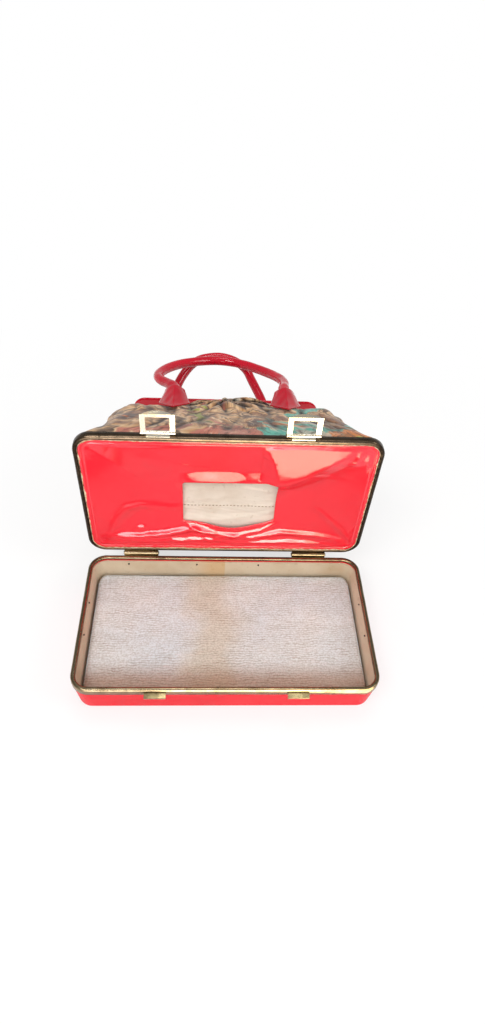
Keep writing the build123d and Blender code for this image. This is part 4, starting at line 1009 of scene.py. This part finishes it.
# Handle tabs
def makeTab(name, where, x):
    # From a four-cornered foot to a round mouth: the outline's corners soften and its faces puff as v rises.
    rise, out = np.array(tabs["rise"][where]), np.array(tabs["out"][where])
    foot = np.array(tabs["origin"][where]) + np.array((x, 0, 0))
    a = np.linspace(0, 2 * pi, 96, endpoint=False)[None, :]
    v = np.concatenate([[-0.02, 0.0, 0.012, 0.035], np.linspace(0.06, 1.0, 26)])[:, None]
    c, s = np.cos(a), np.sin(a)
    diamond = 1.0 / (np.abs(c)**1.05 + np.abs(s)**1.05)**(1 / 1.05)
    climb = ease(np.clip((v - 0.05) / 0.95, 0, 1))
    share = climb**0.9
    reachUp = np.where(s > 0, tabs["up"], tabs["down"][where])
    footX, footY = tabs["half"] * diamond * c, reachUp * diamond * s
    square = 0.45 + 0.55 * diamond
    mouthX = tabs["mouth"] * c * square * tabs["mouthWide"]
    mouthY = tabs["mouth"] * s * square * tabs["mouthTall"]
    width = footX + (mouthX - footX) * share
    height = footY + (mouthY + tabs["neckUp"] - footY) * share
    puff = tabs["puff"] * np.sin(pi * climb) * np.abs(np.sin(2 * a))**1.2
    width, height = width * (1 + puff / 22), height + puff * s * 0.4
    neck = tabs["edge"] + (tabs["neckOut"] - tabs["edge"] - tabs["mouthLean"] * mouthY) * climb**1.15
    lift = np.where(v < 0.05, tabs["edge"] * ease((v + 0.02) / 0.055), neck)
    lift = lift + tabs["wrinkle"] * waveNoise(width, height, 17, 13.0) * np.sin(pi * climb)
    points = foot + width[..., None] * np.array((1.0, 0, 0)) + height[..., None] * rise + lift[..., None] * out
    points = bagPlace(points[..., 0], points[..., 1], points[..., 2])
    piece = gridMesh(name, points, uv=(a * 0.01, v * 0.04), loopU=True)
    closeMesh(piece, fillEnds=True)
    return piece


for where in ("front", "rear"):
    for side, x in zip(("left", "right"), tabs["x"]):
        tabPiece = makeTab("tab" + where.capitalize() + side.capitalize(), where, x)
        dress(tabPiece, handlePatent, "bag")
        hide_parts("handle_tab_" + where + "_" + side)
print("tabs made")

# Frayed cloth edge inside the bag's channel
# A narrow strip from the inset inwards, whose width is ragged: two waves, kept between least and most.
frayed = {"inset": 4.9, "width": 0.9, "slowRag": 1.1, "quickRag": 0.8, "least": 0.15, "most": 2.4,
          "level": 0.85}
u = ringSteps(170, 30, 300)[None, :]
count = np.arange(u.shape[1])[None, :] * 1.0
ragged = frayed["width"] + frayed["slowRag"] * waveNoise(count, 0 * count, 101, 23.0)
ragged = ragged + frayed["quickRag"] * waveNoise(count, 0 * count, 102, 4.3)
v = np.linspace(0, 1, 6)[:, None]
x, y, _, _ = rimRing(frayed["inset"] + np.clip(ragged, frayed["least"], frayed["most"]) * v, u)
z = frayed["level"] - 0.35 * np.sin(pi * v) + 0.2 * waveNoise(x, y, 103, 5.0) * v + 0.25 * v
fray = gridMesh("frayedEdge", bagPlace(x, y, z), uv=(x / 1000, y / 1000), loopU=True)
dress(fray, creamFray, "bag")
print("frayed edge made")

# Painted shadow: a dark strip where the tray's vinyl goes up into its channel, under the channel's overhang
# A strip down the tray's wall, with an uneven lower edge.
glue = {"inset": 0.86, "flare": 0.06, "corner": 19.1, "top": -8.1, "height": 1.5, "uneven": 0.35}
u = ringSteps(60, 16, 120)[None, :]
v = np.linspace(0, 1, 4)[:, None]
inset = glue["inset"] - glue["flare"] * v
x, y, _, _ = roundedRing(rim["half"] - inset, rim["front"] + inset, rim["back"] - inset, glue["corner"], u)
z = glue["top"] - (glue["height"] + glue["uneven"] * waveNoise(x, y, 121, 25.0)) * v
underRimShadowPiece = gridMesh("trayUnderRimShadow", trayPlace(x, y, z), loopU=True, flip=True)
dress(underRimShadowPiece, shadowStripFinish, "tray")
print("glue line made")

# Tray pad
pad = {"half": 150.2, "front": -165.8, "back": -10.2, "radius": 14.0, "low": -40.0, "underside": 0.1,
       "high": -25.0, "roll": 3.2, "sag": 0.3, "slowWave": 0.35, "quickWave": 0.12}


def makePad():
    # Rings from the middle of the underside out, up the edge and back to the middle of the top, whose edge
    # rolls down as a quarter circle.
    u = ringSteps(70, 14, 130)[None, :]
    under = np.concatenate([np.linspace(0, 0.94, 6), np.linspace(0.97, 1.0, 3)])
    edge = np.linspace(0, 1, 9)[1:]
    top = np.concatenate([np.linspace(0.985, 0.9, 7), np.linspace(0.88, 0.0, 50)])
    share = np.concatenate([under, np.ones(len(edge)), top])[:, None]
    level = np.concatenate([np.zeros(len(under)), edge, np.ones(len(top))])[:, None]
    x, y, _, _ = roundedRing(pad["half"], pad["front"], pad["back"], pad["radius"], u)
    middle, halfDepth = (pad["front"] + pad["back"]) / 2, (pad["back"] - pad["front"]) / 2
    x, y = x * share, middle + (y - middle) * share
    fromEdge = np.minimum(pad["half"] - np.abs(x), halfDepth - np.abs(y - middle))
    drop = pad["roll"] * (1 - np.sqrt(np.clip(1 - (1 - np.clip(fromEdge / pad["roll"], 0, 1))**2, 0, 1)))
    wave = pad["slowWave"] * waveNoise(x, y, 111, 70.0) + pad["quickWave"] * waveNoise(x, y, 112, 18.0)
    low = pad["low"] + pad["underside"]
    z = low + (pad["high"] - low) * level + np.where(level >= 1.0, wave - pad["sag"] - 0.9 * drop, 0.0)
    return gridMesh("padPiece", trayPlace(x, y, z), uv=(x / 1000, y / 1000), loopU=True)


padPiece = makePad()
closeMesh(padPiece)
dress(padPiece, ivoryPad, "tray")
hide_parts("tray_pad")
print("pad made")

# Stage: floor, lights and camera
bpy.ops.mesh.primitive_plane_add(size=12.0, location=(0, 0, -0.0004))  # just below the tray
floor = bpy.context.object
floor.name = "studioFloor"
material, tree, shader, coords = newMaterial("paleFloor")
shader.inputs["Base Color"].default_value = colour("#F4F3F2")
shader.inputs["Roughness"].default_value = 0.9
shader.inputs["Specular IOR Level"].default_value = 0.0
rays = addNode(tree, "ShaderNodeLightPath")
glow = addNode(tree, "ShaderNodeEmission", {"Color": colour("#FFFFFF"), "Strength": 1.0})
away = addNode(tree, "ShaderNodeVectorMath", {0: coords.outputs["Object"]}, operation="LENGTH").outputs["Value"]
# seen by the camera, the floor fades to plain white away from the bag
fade = addNode(tree, "ShaderNodeMapRange", {"Value": away, "From Min": 0.25, "From Max": 0.75, "To Min": 0.7,
                                            "To Max": 1.0}, interpolation_type="SMOOTHSTEP").outputs["Result"]
seen = addNode(tree, "ShaderNodeMath", {0: rays.outputs["Is Camera Ray"], 1: fade}, operation="MULTIPLY")
both = addNode(tree, "ShaderNodeMixShader", {0: seen.outputs[0], 1: shader.outputs[0], 2: glow.outputs[0]})
tree.links.new(both.outputs[0], tree.nodes["Material Output"].inputs["Surface"])
floor.data.materials.append(material)

world = bpy.data.worlds.new("studioWorld")
scene.world = world
world.use_nodes = True
tree = world.node_tree
tree.nodes.clear()
rays = addNode(tree, "ShaderNodeLightPath")
turn = addNode(tree, "ShaderNodeTexCoord")
rise = addNode(tree, "ShaderNodeSeparateXYZ", {"Vector": turn.outputs["Generated"]}).outputs["Z"]
sky = ramp(tree, rise, [(0.0, 0.6), (0.3, 0.42), (0.6, 0.28), (0.85, 0.25), (1.0, 0.45)])
# an even light, a sky for what the gloss mirrors, and plain white behind the bag
plain = addNode(tree, "ShaderNodeBackground", {"Color": colour("#FFFFFF"), "Strength": 0.6})
mirrored = addNode(tree, "ShaderNodeBackground", {"Color": sky, "Strength": 1.0})
white = addNode(tree, "ShaderNodeBackground", {"Color": colour("#FFFFFF"), "Strength": 1.0})
soft = addNode(tree, "ShaderNodeMixShader", {0: rays.outputs["Is Glossy Ray"], 1: plain.outputs[0],
                                             2: mirrored.outputs[0]})
mixed = addNode(tree, "ShaderNodeMixShader", {0: rays.outputs["Is Camera Ray"], 1: soft.outputs[0],
                                              2: white.outputs[0]})
addNode(tree, "ShaderNodeOutputWorld", {"Surface": mixed.outputs[0]})

lamps = {
    "card": {"at": (-0.06, -0.47, 0.07), "size": (0.54, 0.17), "power": 2.3, "glossOnly": True},
    "nearCard": {"at": (0.055, -0.13, 0.055), "size": (0.25, 0.13), "power": 0.66, "tint": (1.0, 0.88, 0.58),
                 "glossOnly": True},
    "key": {"at": (-0.7, -0.9, 1.7), "size": (0.8, 0.6), "power": 15.8},
    "front": {"at": (0.1, -2.3, 0.8), "size": (1.0, 0.7), "power": 11.4},
    "fill": {"at": (1.4, -0.5, 1.3), "size": (0.7, 0.7), "power": 7.0},
    "top": {"at": (0.0, 0.45, 2.0), "size": (0.8, 0.6), "power": 6.0},
}
for name, lamp in lamps.items():
    data = bpy.data.lights.new(name + "Lamp", "AREA")
    data.shape = "RECTANGLE"
    data.size, data.size_y = lamp["size"]
    data.energy = lamp["power"]
    data.color = lamp.get("tint", (1.0, 1.0, 1.0))
    item = bpy.data.objects.new(name + "Lamp", data)
    scene.collection.objects.link(item)
    item.location = lamp["at"]
    item.visible_camera = False
    item.visible_diffuse = not lamp.get("glossOnly", False)
    aim = Vector((0.0, 0.09, 0.08)) - Vector(lamp["at"])  # all lamps point at the middle of the open bag
    item.rotation_euler = aim.to_track_quat("-Z", "Y").to_euler()

# The camera solved from the two metal rims: 46.8 degrees down, 4.87 degrees of yaw, 4.4 degrees of roll.
view = {"at": (-0.02488, -0.39756, 0.64160), "down": 46.80, "yaw": 4.87, "roll": 4.40, "lens": 22.5}
down, yaw, roll = (radians(view[k]) for k in ("down", "yaw", "roll"))
ahead = Vector((np.sin(yaw) * np.cos(down), np.cos(yaw) * np.cos(down), -np.sin(down)))
right = Vector((np.cos(yaw), -np.sin(yaw), 0.0))
upward = right.cross(ahead)
rightTurned = np.cos(roll) * right + np.sin(roll) * upward
upTurned = -np.sin(roll) * right + np.cos(roll) * upward
cameraData = bpy.data.cameras.new("photoCamera")
cameraData.lens = view["lens"]
cameraData.sensor_width = 36.0
cameraData.clip_end = 50.0
camera = bpy.data.objects.new("photoCamera", cameraData)
scene.collection.objects.link(camera)
turned = Matrix((rightTurned, upTurned, -ahead)).transposed().to_4x4()
camera.matrix_world = Matrix.Translation(view["at"]) @ turned
scene.camera = camera
scene.view_settings.view_transform = "Standard"
print("stage set")
